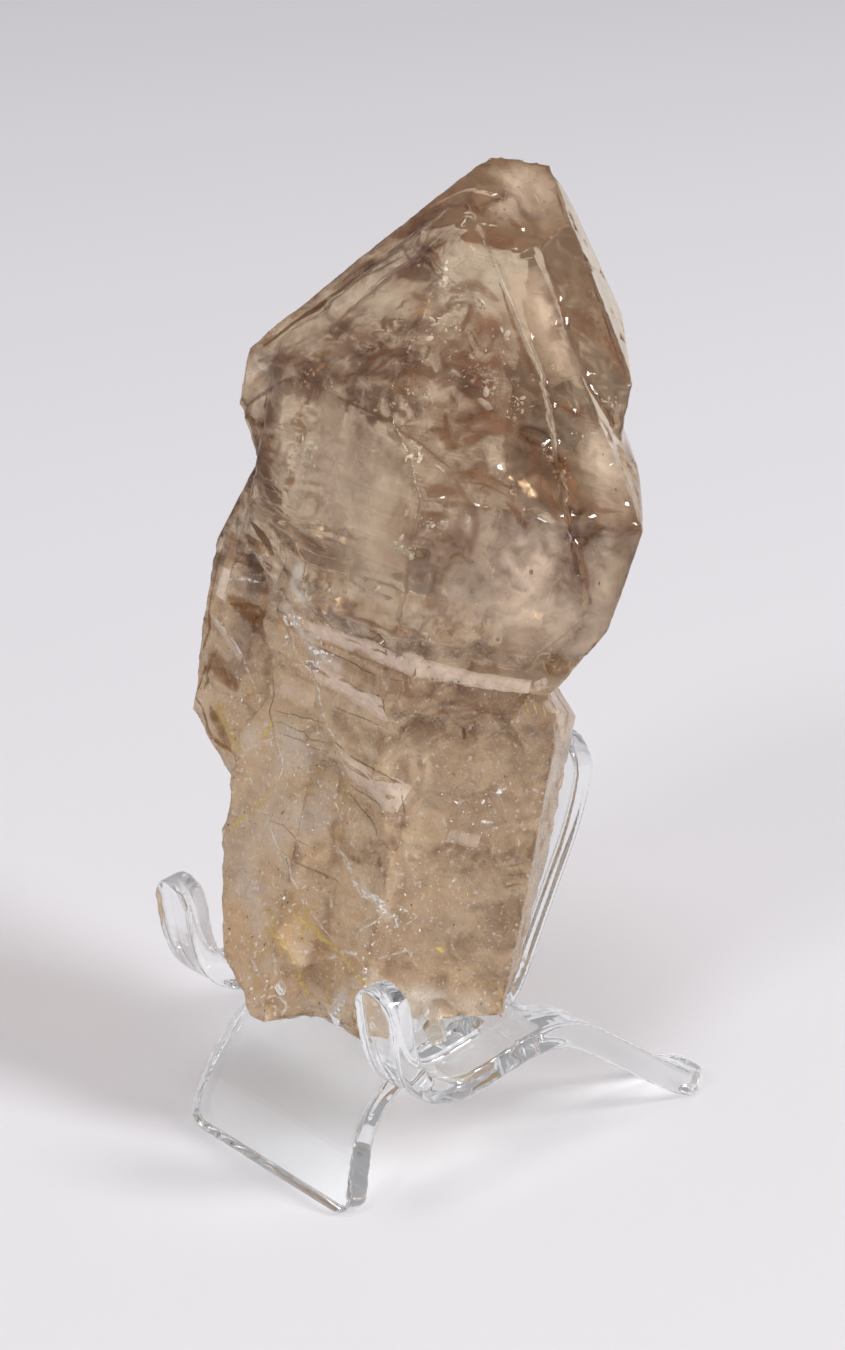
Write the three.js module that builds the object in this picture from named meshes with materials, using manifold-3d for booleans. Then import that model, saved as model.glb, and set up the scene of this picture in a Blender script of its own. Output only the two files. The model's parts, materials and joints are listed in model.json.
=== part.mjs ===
// Smoky quartz crystal standing on a bent clear acrylic easel.
// Millimetres, +Z up, X across the easel, -Y its front. The finished group stands on z = 0
// with the middle of its box over the origin.
import * as THREE from "three";
import { ConvexGeometry } from "three/addons/geometries/ConvexGeometry.js";
import { mergeVertices } from "three/addons/utils/BufferGeometryUtils.js";
import Module from "manifold-3d";

const wasm = await Module();
wasm.setup();

// Easel: one sheet, cut into strips and bent
const SHEET = 3.2;
const EASEL_HALF_WIDTH = 21;
const ARM_WIDTH = 6.3;
const ARM_CENTRE = EASEL_HALF_WIDTH - ARM_WIDTH / 2;
const LEG_HALF_WIDTH_FLOOR = 14.5;
const LEG_HALF_WIDTH_TOP = 12.7;
const LEG_TAPER_LENGTH = 13;
const FOOT_CORNER = 3;
const REST_HALF_WIDTH = 12.3;
const REST_CORNER = 4.5;
const REAR_CORNER = 2.2;
const BAND_FRONT = 19.4;
const BAND_BACK = 25.4;
const BAND_MIDDLE_Z = 16.75;
const BAND_SINK = 0.03;
const FOOT_GRIND = 0.33;
const STRIP_STEPS = 84;
// Both rounded ends of a strip: their length, their share of the steps, how those crowd, how blunt they stop
const END_ZONE = 5;
const END_SHARE = 0.16;
const END_CROWDING = 1.7;
const END_BLUNT = 0.12;

// Middle lines of the strips in the side view, as [y, z]
const CENTRE_STRIP = [
  [0.7, 0], [1.6, 4.4], [3.5, 9], [6.6, 12.7], [11.2, 15.2], [16.5, 16.5], [20.5, 16.8],
  [24, 17.1], [26.5, 19.1], [29.3, 24.4], [32.7, 31.4], [35, 36.1], [36.6, 40.6], [37.3, 44], [37.5, 47],
];
const OUTER_STRIP = [
  [1.5, 30.4], [2, 26.6], [2.6, 22.9], [4.1, 19.3], [7, 16.7], [10.7, 15.6], [14.6, 15.9],
  [18.6, 16.5], [22.2, 16.9], [25.6, 16.6], [29, 15.4], [32.4, 13.2], [35.6, 10.8], [39.3, 8],
  [43, 5.2], [46, 3.1], [48.2, 2], [50.4, 1.6],
];

// Crystal: its long axis leans back against the rest
const LEAN = THREE.MathUtils.degToRad(14);
const AXIS_FOOT = new THREE.Vector3(0, 18, 17);
const RHOMB_PITCH = 38.2;
const DEEP = -30;
// Turns of the six sides about the long axis: front, front right, back right, back, back left, front left
const SIDE_TURNS = [90, 30, -30, -90, -150, 150];

const ACROSS = new THREE.Vector3(1, 0, 0);
const FORWARD = new THREE.Vector3(0, -Math.cos(LEAN), Math.sin(LEAN));
const ALONG = new THREE.Vector3(0, Math.sin(LEAN), Math.cos(LEAN));

// Smallest spread of three planes that still meet in a corner, and the distance that counts as touching
const NEARLY_PARALLEL = 1e-5;
const TOUCHING = 1e-4;

// Where the crystal sits down on the easel: over the hump, against the rest, over the front bend
const SEAT_GAP = 0.3;
const SEAT_UNDER = levelFace(0, 20, 18.68);
const SEAT_BACK = levelFace(64, 27.6, 25);
const SEAT_FRONT = levelFace(0, 1.5, 17);

/** Half space over a face that looks down, tipped to the back by an angle, through a side view point. */
function levelFace(tip, y, z) {
  const t = THREE.MathUtils.degToRad(tip);
  const normal = new THREE.Vector3(0, Math.sin(t), -Math.cos(t));
  return new THREE.Plane().setFromNormalAndCoplanarPoint(normal, new THREE.Vector3(0, y, z));
}

/** Point of the model from crystal coordinates: across, forward of the axis, along the axis. */
function crystalPoint(across, forward, along) {
  return AXIS_FOOT.clone()
    .addScaledVector(ACROSS, across)
    .addScaledVector(FORWARD, forward)
    .addScaledVector(ALONG, along);
}

/** Half space whose face turns about the long axis, pitches up from it and passes through a point. */
function face(turn, pitch, across, forward, along) {
  const t = THREE.MathUtils.degToRad(turn);
  const p = THREE.MathUtils.degToRad(pitch);
  const normal = new THREE.Vector3()
    .addScaledVector(ACROSS, Math.cos(t) * Math.cos(p))
    .addScaledVector(FORWARD, Math.sin(t) * Math.cos(p))
    .addScaledVector(ALONG, Math.sin(p));
  return new THREE.Plane().setFromNormalAndCoplanarPoint(normal, crystalPoint(across, forward, along));
}

/** Corner where three planes meet, or null where two of them run parallel. */
function corner(a, b, c) {
  const bc = new THREE.Vector3().crossVectors(b.normal, c.normal);
  const spread = a.normal.dot(bc);
  if (Math.abs(spread) < NEARLY_PARALLEL) return null;
  const ca = new THREE.Vector3().crossVectors(c.normal, a.normal);
  const ab = new THREE.Vector3().crossVectors(a.normal, b.normal);
  return bc.multiplyScalar(-a.constant)
    .addScaledVector(ca, -b.constant)
    .addScaledVector(ab, -c.constant)
    .divideScalar(spread);
}

/** Convex block that lies behind every given plane. */
function block(planes) {
  const corners = [];
  for (let i = 0; i < planes.length; i += 1) {
    for (let j = i + 1; j < planes.length; j += 1) {
      for (let k = j + 1; k < planes.length; k += 1) {
        const point = corner(planes[i], planes[j], planes[k]);
        if (point && planes.every((plane) => plane.distanceToPoint(point) < TOUCHING)) corners.push(point);
      }
    }
  }
  return new ConvexGeometry(corners);
}

/** Closed three.js geometry as a solid that can be joined and cut. */
function solid(geometry) {
  const bare = geometry.index ? geometry.toNonIndexed() : geometry.clone();
  bare.deleteAttribute("normal");
  bare.deleteAttribute("uv");
  const merged = mergeVertices(bare, TOUCHING);
  return new wasm.Manifold(new wasm.Mesh({
    numProp: 3,
    vertProperties: new Float32Array(merged.attributes.position.array),
    triVerts: new Uint32Array(merged.index.array),
  }));
}

/** Solid back to a three.js geometry with flat faces. */
function geometryOf(shape) {
  const mesh = shape.getMesh();
  const geometry = new THREE.BufferGeometry();
  geometry.setAttribute("position", new THREE.BufferAttribute(mesh.vertProperties, 3));
  geometry.setIndex(new THREE.BufferAttribute(mesh.triVerts, 1));
  geometry.computeVertexNormals();
  return geometry;
}

/**
 * One quartz growth: six sides, six sloping faces that meet in a peak or ridge, and a root.
 * sides are distances from the growth's own axis, peaks the heights where the sloping
 * faces would cross that axis, roots the same for the faces under it. Each cut is a turn,
 * a pitch, a reach from the crystal's axis in that turn and a height along it.
 */
function growth({ at, sides, peaks, roots = [], foot = DEEP, cuts = [], seats = [] }) {
  const planes = [face(0, -90, at[0], at[1], foot), ...seats];
  SIDE_TURNS.forEach((turn, k) => {
    const t = THREE.MathUtils.degToRad(turn);
    const across = at[0] + Math.cos(t) * sides[k];
    const forward = at[1] + Math.sin(t) * sides[k];
    planes.push(face(turn, 0, across, forward, 0));
    planes.push(face(turn, RHOMB_PITCH, at[0], at[1], peaks[k]));
    planes.push(face(turn, -RHOMB_PITCH, at[0], at[1], roots[k] ?? DEEP));
  });
  cuts.forEach(([turn, pitch, reach, along]) => {
    const t = THREE.MathUtils.degToRad(turn);
    planes.push(face(turn, pitch, Math.cos(t) * reach, Math.sin(t) * reach, along));
  });
  return solid(block(planes));
}

// Angular stone shape: its proportions, and its turns about Z and X from one of a list to the next
const FRAGMENT_SHAPE = [1, 0.8, 1.15];
const FRAGMENT_TURNS = [2.4, 1.1];

/** Small angular stone shape, its turn taken from its number in the list. */
function fragment([across, forward, along, radius], number) {
  const shape = new THREE.IcosahedronGeometry(radius, 0);
  shape.scale(...FRAGMENT_SHAPE);
  shape.rotateZ(number * FRAGMENT_TURNS[0]);
  shape.rotateX(number * FRAGMENT_TURNS[1]);
  const centre = crystalPoint(across, forward, along);
  shape.translate(centre.x, centre.y, centre.z);
  return solid(shape);
}

/** Strip of sheet bent along a side view line, its half width given along its length. */
function bentStrip(line, halfWidth, middleX, thickness, steps = STRIP_STEPS) {
  const knots = line.map(([y, z]) => new THREE.Vector3(0, y, z));
  const curve = new THREE.CatmullRomCurve3(knots, false, "centripetal");
  const length = curve.getLength();
  const positions = [];
  for (let i = 0; i <= steps; i += 1) {
    const u = stationAt(i / steps, length);
    const p = curve.getPointAt(u);
    const along = curve.getTangentAt(u);
    const up = new THREE.Vector3(0, -along.z, along.y).multiplyScalar(thickness / 2);
    const half = halfWidth(u * length, length);
    [[-1, 1], [1, 1], [1, -1], [-1, -1]].forEach(([sx, su]) => {
      positions.push(middleX + sx * half, p.y + su * up.y, p.z + su * up.z);
    });
  }
  const index = [];
  for (let i = 0; i < steps; i += 1) {
    for (let k = 0; k < 4; k += 1) {
      const a = i * 4 + k;
      const b = i * 4 + ((k + 1) % 4);
      index.push(a, b, b + 4, a, b + 4, a + 4);
    }
  }
  const last = steps * 4;
  index.push(0, 2, 1, 0, 3, 2, last, last + 1, last + 2, last, last + 2, last + 3);
  const geometry = new THREE.BufferGeometry();
  geometry.setAttribute("position", new THREE.Float32BufferAttribute(positions, 3));
  geometry.setIndex(index);
  return solid(geometry);
}

/** Station along a strip: closer together within END_ZONE of its two rounded ends. */
function stationAt(t, length) {
  const zone = END_ZONE / length;
  if (t < END_SHARE) return zone * (t / END_SHARE) ** END_CROWDING;
  if (t > 1 - END_SHARE) return 1 - zone * ((1 - t) / END_SHARE) ** END_CROWDING;
  return zone + (1 - 2 * zone) * ((t - END_SHARE) / (1 - 2 * END_SHARE));
}

/** Half width near a rounded end, at a distance from that end. */
function roundedEnd(half, radius, distance) {
  if (distance >= radius) return half;
  const inset = radius - distance;
  return half - radius + Math.sqrt(Math.max(radius * radius - inset * inset, (radius * END_BLUNT) ** 2));
}

/** Front leg, hump and back rest in one strip, the leg a little wider at the floor. */
function centreStrip(thickness, extra) {
  return bentStrip(CENTRE_STRIP, (s, length) => {
    if (s >= length / 2) return roundedEnd(REST_HALF_WIDTH, REST_CORNER, length - s) + extra;
    const taper = THREE.MathUtils.smoothstep(s, 0, LEG_TAPER_LENGTH);
    const leg = THREE.MathUtils.lerp(LEG_HALF_WIDTH_FLOOR, LEG_HALF_WIDTH_TOP, taper);
    return roundedEnd(leg, FOOT_CORNER, s) + extra;
  }, 0, thickness);
}

/** Hook, arm and rear leg of one side in one strip. */
function outerStrip(side, thickness, extra) {
  const half = ARM_WIDTH / 2;
  return bentStrip(OUTER_STRIP, (s, length) => {
    const rounded = s < length / 2 ? roundedEnd(half, half, s) : roundedEnd(half, REAR_CORNER, length - s);
    return rounded + extra;
  }, side * ARM_CENTRE, thickness);
}

/** Flat band that joins the three strips behind the hump. */
function band(thickness) {
  const width = 2 * EASEL_HALF_WIDTH - 2;
  const box = new THREE.BoxGeometry(width, BAND_BACK - BAND_FRONT, thickness - 2 * BAND_SINK);
  box.translate(0, (BAND_FRONT + BAND_BACK) / 2, BAND_MIDDLE_Z);
  return solid(box);
}

/** The easel: front leg and back rest in one strip, two arms that run on into the rear legs, one band. */
function easel(thickness = SHEET, extra = 0) {
  return centreStrip(thickness, extra)
    .add(outerStrip(-1, thickness, extra))
    .add(outerStrip(1, thickness, extra))
    .add(band(thickness));
}

/** Easel with its three feet ground flat on the table. */
function groundEasel() {
  const under = new THREE.BoxGeometry(100, 160, 10);
  under.translate(0, 0, FOOT_GRIND - 5);
  return easel().subtract(solid(under));
}

/** Crown at the top back, whose ridge is the highest edge. */
function crown() {
  return growth({
    at: [-7.1, -3],
    sides: [23, 17, 20, 10.5, 13, 23.4],
    peaks: [100.1, 96.3, 100.1, 100.1, 96.3, 100.1],
    roots: [26, 34, 34, 34, 34, 34.3],
    cuts: [
      [-45, 36, 11.7, 81.6], [-45, 19, 14, 75], [-45, 0, 14, 75],
      [135, -19.6, 29.4, 63.8], [135, -50, 27, 51.5], [0, 90, 0, 96.8],
    ],
  });
}

/** Shoulder growth on the right, proud of the crown by a thin step. */
function rightShoulder() {
  return growth({
    at: [0, 0],
    sides: [18, 20.3, 21.3, 12.5, 15, 20],
    peaks: [98, 87.3, 88, 97, 98, 98],
    foot: 41.5,
    cuts: [
      [-45, 31.6, 16.7, 65.5], [-45, 13, 17.7, 61.1], [-45, -8.5, 17.7, 61.1],
      [-45, -30, 15.8, 49.3], [-45, -42, 12.2, 43],
    ],
  });
}

/** Front head: the broad part in the middle, its right edge stepping back to the shoulder growth. */
function frontHead() {
  return growth({
    at: [-6, 8.2],
    sides: [13.3, 22.6, 30, 20, 16, 14.1],
    peaks: [87, 90.1, 110, 95, 94, 90.4],
    roots: [29.1, 17.3, 17, 12, 20, 26],
    foot: 42,
    cuts: [[-45, 35, 4, 74.6], [-45, 22.1, 4, 74.6], [135, -50, 27, 51.5]],
  });
}

/** Stem growths: each one lower down is a step slimmer, its lower rim slanting in. */
function stem() {
  const steps = [
    { front: 18.9, right: 19, root: 21, top: 60 },
    { front: 17.2, right: 16.5, root: 15.9, top: 56 },
    { front: 15.3, right: 15.3, root: 9, top: 50 },
    { front: 13.4, right: 15, root: 2.5, top: 48 },
    { front: 12, right: 14.6, root: DEEP, top: 46 },
    { front: 10.6, right: 14.6, back: -5, root: DEEP, top: 46, under: SEAT_FRONT },
  ];
  return steps.map(({ front, right, back = 9.6, root, top, under = SEAT_UNDER }) => growth({
    at: [-2, 0],
    sides: [front, right, 17.1, back, 14, 17.5],
    peaks: Array(6).fill(top + 20),
    roots: [root, root, DEEP, DEEP, DEEP, root],
    cuts: [[-45, 45, 16, 36]],
    seats: [under, SEAT_BACK],
  })).reduce((whole, next) => whole.add(next));
}

/** Stained, lumpy growth low on the front left. */
function rustyLump() {
  return growth({
    at: [-7, 6],
    sides: [10.4, 9, 8, 0.8, 9, 12.8],
    peaks: [44, 40, 40, 44, 42, 44],
    cuts: [[135, -14, 22.6, 12.7], [135, -42, 19.8, 1]],
    seats: [SEAT_FRONT],
  });
}

/** Two small crystals on the left flank. */
function leftCrystals() {
  const upper = growth({
    at: [-20, 11],
    sides: [5.4, 6.4, 6, 6, 7, 7.03],
    peaks: Array(6).fill(62),
    foot: 30,
    cuts: [[135, 18, 29.2, 47.3], [135, -19, 29.4, 37]],
  });
  const lower = growth({
    at: [-19, 8],
    sides: [6.8, 9, 9, 7, 8, 9.9],
    peaks: Array(6).fill(54),
    cuts: [[135, -45, 29.4, 26.6], [135, 0, 29.3, 30], [90, -24, 14.8, 24]],
  });
  return upper.add(lower);
}

// Broken and chipped places, as [across, forward, along, radius]
const CHIPS = [
  [16.2, -6.5, 4, 3.4], [13.4, 4.5, 2, 2.2], [-17.4, 16.6, 7.8, 1.4], [20.9, -3, 66.8, 0.9],
  [18.4, -4.6, 69.3, 0.9], [24.3, -1, 57.4, 0.9], [23, -1, 52.6, 0.8], [-26, 15.9, 35.9, 1.3],
  [-6.6, 20.9, 45, 1.5], [0.8, 21.6, 45.6, 1.1], [9, 20.4, 45, 1.4], [16.5, 13.6, 44.4, 1.6],
  [20, 4.4, 45, 1.5], [-8.2, 16.4, -3, 2], [-1.4, 15.6, -1.6, 1.7], [8.3, 11, 1.2, 1.7],
  [12.6, -9.8, 25, 1.2], [-14.4, -2.2, 95.2, 1.2], [-3.6, -7.4, 96.9, 0.9], [-25.4, 16.8, 66.4, 1.2],
];

// Knobs and druse grown on the outside, as [across, forward, along, radius]
const KNOBS = [
  [-11.5, 13.8, 21, 3.2], [-8.5, 14.2, 10, 3.1], [-3, 13.2, 15.5, 3], [-13, 13.4, 4.5, 2.6],
  [-1.6, 13.2, 4.6, 2.8], [-5.4, 14.4, 0.6, 2.4], [-13.6, 14, 14, 2.5], [-5, 13, 24, 2.8],
  [-12.5, 15.8, 40.5, 2.6], [-9, 17.8, 43.4, 2.2], [-14.5, 13.6, 45.4, 2.4],
];

function crystal() {
  const grown = [crown(), rightShoulder(), frontHead(), stem(), rustyLump(), leftCrystals()]
    .concat(KNOBS.map(fragment))
    .reduce((whole, next) => whole.add(next));
  return CHIPS.map(fragment)
    .concat(easel(SHEET + 2 * SEAT_GAP, SEAT_GAP))
    .reduce((whole, next) => whole.subtract(next), grown);
}

const acrylic = new THREE.MeshStandardMaterial({ color: 0xeef1f4, roughness: 0.06, metalness: 0 });
const smokyQuartz = new THREE.MeshStandardMaterial({ color: 0x9b8676, roughness: 0.12, metalness: 0 });

function named(name, shape, material) {
  const mesh = new THREE.Mesh(geometryOf(shape), material);
  mesh.name = name;
  return mesh;
}

const model = new THREE.Group();
model.add(named("stand", groundEasel(), acrylic));
model.add(named("crystal", crystal(), smokyQuartz));

const bounds = new THREE.Box3().setFromObject(model);
const middle = bounds.getCenter(new THREE.Vector3());
model.children.forEach((mesh) => mesh.geometry.translate(-middle.x, -middle.y, -bounds.min.z));

export default model;
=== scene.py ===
"""Smoky quartz crystal leaning on a low easel of bent clear acrylic, in soft studio light."""
import json
import logging
import math
from dataclasses import dataclass, field, replace
from enum import Enum
from functools import cached_property

import bmesh
import bpy
import numpy as np
from mathutils import Matrix, Vector
from mathutils.bvhtree import BVHTree

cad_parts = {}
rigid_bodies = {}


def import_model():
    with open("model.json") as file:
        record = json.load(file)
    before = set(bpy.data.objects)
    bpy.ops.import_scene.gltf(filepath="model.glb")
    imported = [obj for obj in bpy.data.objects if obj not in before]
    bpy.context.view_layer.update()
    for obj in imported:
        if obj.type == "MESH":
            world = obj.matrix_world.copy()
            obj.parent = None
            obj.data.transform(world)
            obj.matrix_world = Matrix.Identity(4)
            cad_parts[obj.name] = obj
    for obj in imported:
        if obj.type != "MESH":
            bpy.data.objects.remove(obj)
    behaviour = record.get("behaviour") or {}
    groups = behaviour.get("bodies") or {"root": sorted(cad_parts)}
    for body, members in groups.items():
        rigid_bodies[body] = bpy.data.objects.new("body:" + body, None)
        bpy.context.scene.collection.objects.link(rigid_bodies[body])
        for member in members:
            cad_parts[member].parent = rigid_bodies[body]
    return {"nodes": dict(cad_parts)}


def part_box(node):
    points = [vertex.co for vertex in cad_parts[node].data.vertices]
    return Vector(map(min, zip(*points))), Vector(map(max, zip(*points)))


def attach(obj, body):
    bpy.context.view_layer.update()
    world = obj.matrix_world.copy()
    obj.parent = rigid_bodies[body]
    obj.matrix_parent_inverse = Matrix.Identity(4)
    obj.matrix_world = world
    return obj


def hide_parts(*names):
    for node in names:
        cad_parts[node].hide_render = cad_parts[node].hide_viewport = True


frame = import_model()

log = logging.getLogger("smoky_quartz")
MM = 0.001
TURN = 2.0 * math.pi
QUARTZ_IOR = 1.544
# Length of a table of random numbers, and three large odd numbers that spread lattice cells over it.
TABLE_LENGTH = 4096
CELL_KEYS = np.array([73856093, 19349663, 83492791])

# A place of a mark: two numbers are a pixel picked on the photo, three are crystal mm.
Place = tuple[float, ...]
Path = tuple[Place, ...]
Triple = tuple[float, float, float]
Sheet = tuple[np.ndarray, np.ndarray, np.ndarray]
Tree = bpy.types.NodeTree
Socket = bpy.types.NodeSocket


# Colour and nodes


def linear(hex_colour: str, alpha: float = 1.0) -> tuple[float, float, float, float]:
    """Turns an sRGB hex colour into linear light.

    Args:
        hex_colour: six hex digits, such as "9b8676".
        alpha: fourth component.

    Returns:
        Linear red, green, blue and alpha.
    """
    parts = [int(hex_colour[k : k + 2], 16) / 255.0 for k in (0, 2, 4)]
    r, g, b = (c / 12.92 if c <= 0.04045 else ((c + 0.055) / 1.055) ** 2.4 for c in parts)
    return (r, g, b, alpha)


def add_node(tree: Tree, kind: str, settings: dict | None = None) -> bpy.types.Node:
    """Adds one shader node.

    Args:
        tree: node tree that gets it.
        kind: Blender's name of the node type.
        settings: node properties, plain values of inputs, and sockets that feed inputs, by name or number.

    Returns:
        The new node.
    """
    node = tree.nodes.new(kind)
    for key, value in (settings or {}).items():
        if isinstance(value, Socket):
            tree.links.new(value, node.inputs[key])
        elif isinstance(key, str) and hasattr(node, key):
            setattr(node, key, value)
        else:
            node.inputs[key].default_value = value
    return node


def empty_material(name: str) -> tuple[bpy.types.Material, Tree]:
    """Makes a node material with no nodes in it.

    Args:
        name: material name.

    Returns:
        The material and its node tree.
    """
    material = bpy.data.materials.new(name)
    material.use_nodes = True
    material.node_tree.nodes.clear()
    return material, material.node_tree


def object_mm(tree: Tree) -> Socket:
    """Object coordinates, in mm."""
    place = add_node(tree, "ShaderNodeTexCoord").outputs["Object"]
    return add_node(tree, "ShaderNodeMapping", {"Scale": (1.0 / MM,) * 3, "Vector": place}).outputs["Vector"]


def attribute(tree: Tree, name: str) -> Socket:
    """A mesh's own number at each point."""
    return add_node(tree, "ShaderNodeAttribute", {"attribute_name": name}).outputs["Fac"]


def noise(
    tree: Tree, place: Socket, size: float, detail: float, rough: float = 0.5, warp: float = 0.0
) -> Socket:
    """Adds noise in lumps.

    Args:
        tree: node tree that gets it.
        place: coordinates in mm.
        size: size of the lumps in mm.
        detail: number of finer and finer octaves.
        rough: share that each octave keeps of the one before.
        warp: how far the lumps are drawn out of shape.

    Returns:
        The noise value.
    """
    settings = {"Scale": 1.0 / size, "Detail": detail, "Roughness": rough, "Distortion": warp}
    return add_node(tree, "ShaderNodeTexNoise", {**settings, "Vector": place}).outputs["Fac"]


def remap(tree: Tree, value: Socket, span: tuple[float, float], ends: tuple[float, float]) -> Socket:
    """Straight blend between two ends while a value runs over a span, held at the ends beyond it."""
    settings = {"From Min": span[0], "From Max": span[1], "To Min": ends[0], "To Max": ends[1]}
    return add_node(tree, "ShaderNodeMapRange", {**settings, "Value": value}).outputs["Result"]


def product(tree: Tree, first: Socket, second: Socket) -> Socket:
    """Product of two values, clipped to 0..1."""
    settings = {"operation": "MULTIPLY", "use_clamp": True, 0: first, 1: second}
    return add_node(tree, "ShaderNodeMath", settings).outputs["Value"]


def greater(tree: Tree, first: Socket, second: Socket) -> Socket:
    """Greater of two values."""
    return add_node(tree, "ShaderNodeMath", {"operation": "MAXIMUM", 0: first, 1: second}).outputs["Value"]


def add_share(tree: Tree, first: Socket, share: float, second: Socket) -> Socket:
    """A share of the first value plus the second."""
    settings = {"operation": "MULTIPLY_ADD", 0: first, 1: share, 2: second}
    return add_node(tree, "ShaderNodeMath", settings).outputs["Value"]


def show(tree: Tree, surface: bpy.types.Node, lamps: str | None = None, inside: Socket | None = None) -> None:
    """Puts a shader on the surface.

    Args:
        tree: node tree of the material.
        surface: its shader.
        lamps: for a glassy surface, the sRGB hex colour that a lamp's light keeps at each crossing, so that
            lamps light what is inside and behind it.
        inside: shader of the volume under the surface.
    """
    shader = surface.outputs["BSDF"]
    if lamps:
        ray = add_node(tree, "ShaderNodeLightPath").outputs["Is Shadow Ray"]
        clear = add_node(tree, "ShaderNodeBsdfTransparent", {"Color": linear(lamps)}).outputs["BSDF"]
        shader = add_node(tree, "ShaderNodeMixShader", {0: ray, 1: shader, 2: clear}).outputs["Shader"]
    add_node(tree, "ShaderNodeOutputMaterial", {"Surface": shader, **({"Volume": inside} if inside else {})})


# Arrays and meshes


def smooth_step(low: float, high: float, value: np.ndarray) -> np.ndarray:
    """Blend from 0 at low to 1 at high along 3t^2 - 2t^3, with t clipped to 0..1; low may be above high."""
    t = np.clip((value - low) / (high - low), 0.0, 1.0)
    return t * t * (3.0 - 2.0 * t)


def lattice_noise(points: np.ndarray, size: float, seed: int) -> np.ndarray:
    """Smooth noise: random numbers on a cubic lattice, blended between a cell's corners along 3t^2 - 2t^3.

    Args:
        points: n by 3 places in mm.
        size: lattice spacing in mm.
        seed: number of the random table.

    Returns:
        n values from -1 to 1.
    """
    table = np.random.default_rng(seed).uniform(-1.0, 1.0, TABLE_LENGTH)
    scaled = points / size
    cell = np.floor(scaled).astype(np.int64)
    t = scaled - cell
    t = t * t * (3.0 - 2.0 * t)
    total = np.zeros(len(points))
    for corner in np.ndindex(2, 2, 2):
        key = np.bitwise_xor.reduce((cell + np.array(corner)) * CELL_KEYS, axis=1)
        weight = np.prod(np.where(np.array(corner) == 1, t, 1.0 - t), axis=1)
        total += weight * table[key % TABLE_LENGTH]
    return total


def grid_faces(rows: int, columns: int, closed: bool = False) -> np.ndarray:
    """Quads of a grid of points numbered row by row: point k is joined to k + 1, k + 1 + columns and
    k + columns.

    Args:
        rows: rows of points.
        columns: points in each row.
        closed: whether the last column is joined to the first.

    Returns:
        Rows of four point numbers.
    """
    r, c = np.meshgrid(np.arange(rows - 1), np.arange(columns if closed else columns - 1), indexing="ij")
    here, beside = r * columns + c, r * columns + (c + 1) % columns
    return np.stack([here, beside, beside + columns, here + columns], -1).reshape(-1, 4)


def near_path(points: np.ndarray, path: Path) -> np.ndarray:
    """Distance of each point p from a path: the least |p - a - t (b - a)| over its stretches from a to b,
    with t = (p - a)(b - a) / |b - a|^2 clipped to 0..1.

    Args:
        points: n by 3 places in crystal mm.
        path: places in crystal mm.

    Returns:
        n distances in mm.
    """
    knots = np.array(path, float)
    best = np.full(len(points), np.inf)
    for start, end in zip(knots[:-1], knots[1:]):
        run = end - start
        t = np.clip((points - start) @ run / max(run @ run, 1e-9), 0.0, 1.0)
        best = np.minimum(best, np.linalg.norm(points - start - t[:, None] * run, axis=1))
    return best


def even_line(path: Path, rounds: int, steps: int = 0, gap: float = 0.3) -> np.ndarray:
    """Points evenly spaced along a path in crystal mm, then each moved halfway to the middle of its two
    neighbours, over and over, which rounds the corners.

    Args:
        path: places in crystal mm.
        rounds: rounds of moving.
        steps: number of points, or 0 for one every gap.
        gap: distance between points in mm where steps is 0.

    Returns:
        The points in crystal mm.
    """
    knots = np.array(path, float)
    run = np.concatenate([[0.0], np.cumsum(np.linalg.norm(np.diff(knots, axis=0), axis=1))])
    u = np.linspace(0.0, run[-1], steps or max(6, int(run[-1] / gap)))
    line = np.stack([np.interp(u, run, knots[:, k]) for k in range(3)], -1)
    for _ in range(rounds):
        line[1:-1] += 0.5 * (0.5 * (line[:-2] + line[2:]) - line[1:-1])
    return line


def across(normal: np.ndarray) -> tuple[np.ndarray, np.ndarray]:
    """Two directions in the plane square to a normal N: N x Z, or N x X where N is steep, and N x that.

    Args:
        normal: unit direction.

    Returns:
        The two unit directions.
    """
    side = np.cross(normal, (0.0, 0.0, 1.0) if abs(normal[2]) < 0.9 else (1.0, 0.0, 0.0))
    side /= np.linalg.norm(side)
    return side, np.cross(normal, side)


def ribbon(line: np.ndarray, side: np.ndarray, half: np.ndarray, v: np.ndarray) -> np.ndarray:
    """Points L(u) + v h(u) S(u) of a ribbon, row by row, v running from -1 to 1 across it."""
    return (line[:, None, :] + side[:, None, :] * (half[:, None] * v[None, :])[:, :, None]).reshape(-1, 3)


def join(sheets: list[Sheet]) -> Sheet:
    """Joins sheets into one, with the faces renumbered.

    Args:
        sheets: points, faces and values of each.

    Returns:
        Points, faces and values of the whole.
    """
    points, faces, values = zip(*sheets)
    starts = np.cumsum([0, *map(len, points[:-1])])
    numbered = [rows + start for rows, start in zip(faces, starts)]
    return np.concatenate(points), np.concatenate(numbered), np.concatenate(values)


def mesh_object(
    name: str, points: np.ndarray, faces: np.ndarray | list[list[int]],
    attributes: dict[str, np.ndarray] | None = None, smooth: bool = True,
) -> bpy.types.Object:
    """Puts arrays into a new mesh object at the origin.

    Args:
        name: object name.
        points: n by 3 places in the row frame, in metres.
        faces: rows of point numbers.
        attributes: one number per point, by attribute name.
        smooth: whether the shading is smooth.

    Returns:
        The object, linked to the scene.
    """
    mesh = bpy.data.meshes.new(name)
    mesh.from_pydata(points, [], faces)
    mesh.polygons.foreach_set("use_smooth", np.full(len(mesh.polygons), smooth))
    for key, values in (attributes or {}).items():
        mesh.attributes.new(key, "FLOAT", "POINT").data.foreach_set("value", np.asarray(values, np.float32))
    obj = bpy.data.objects.new(name, mesh)
    bpy.context.collection.objects.link(obj)
    return obj


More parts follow.
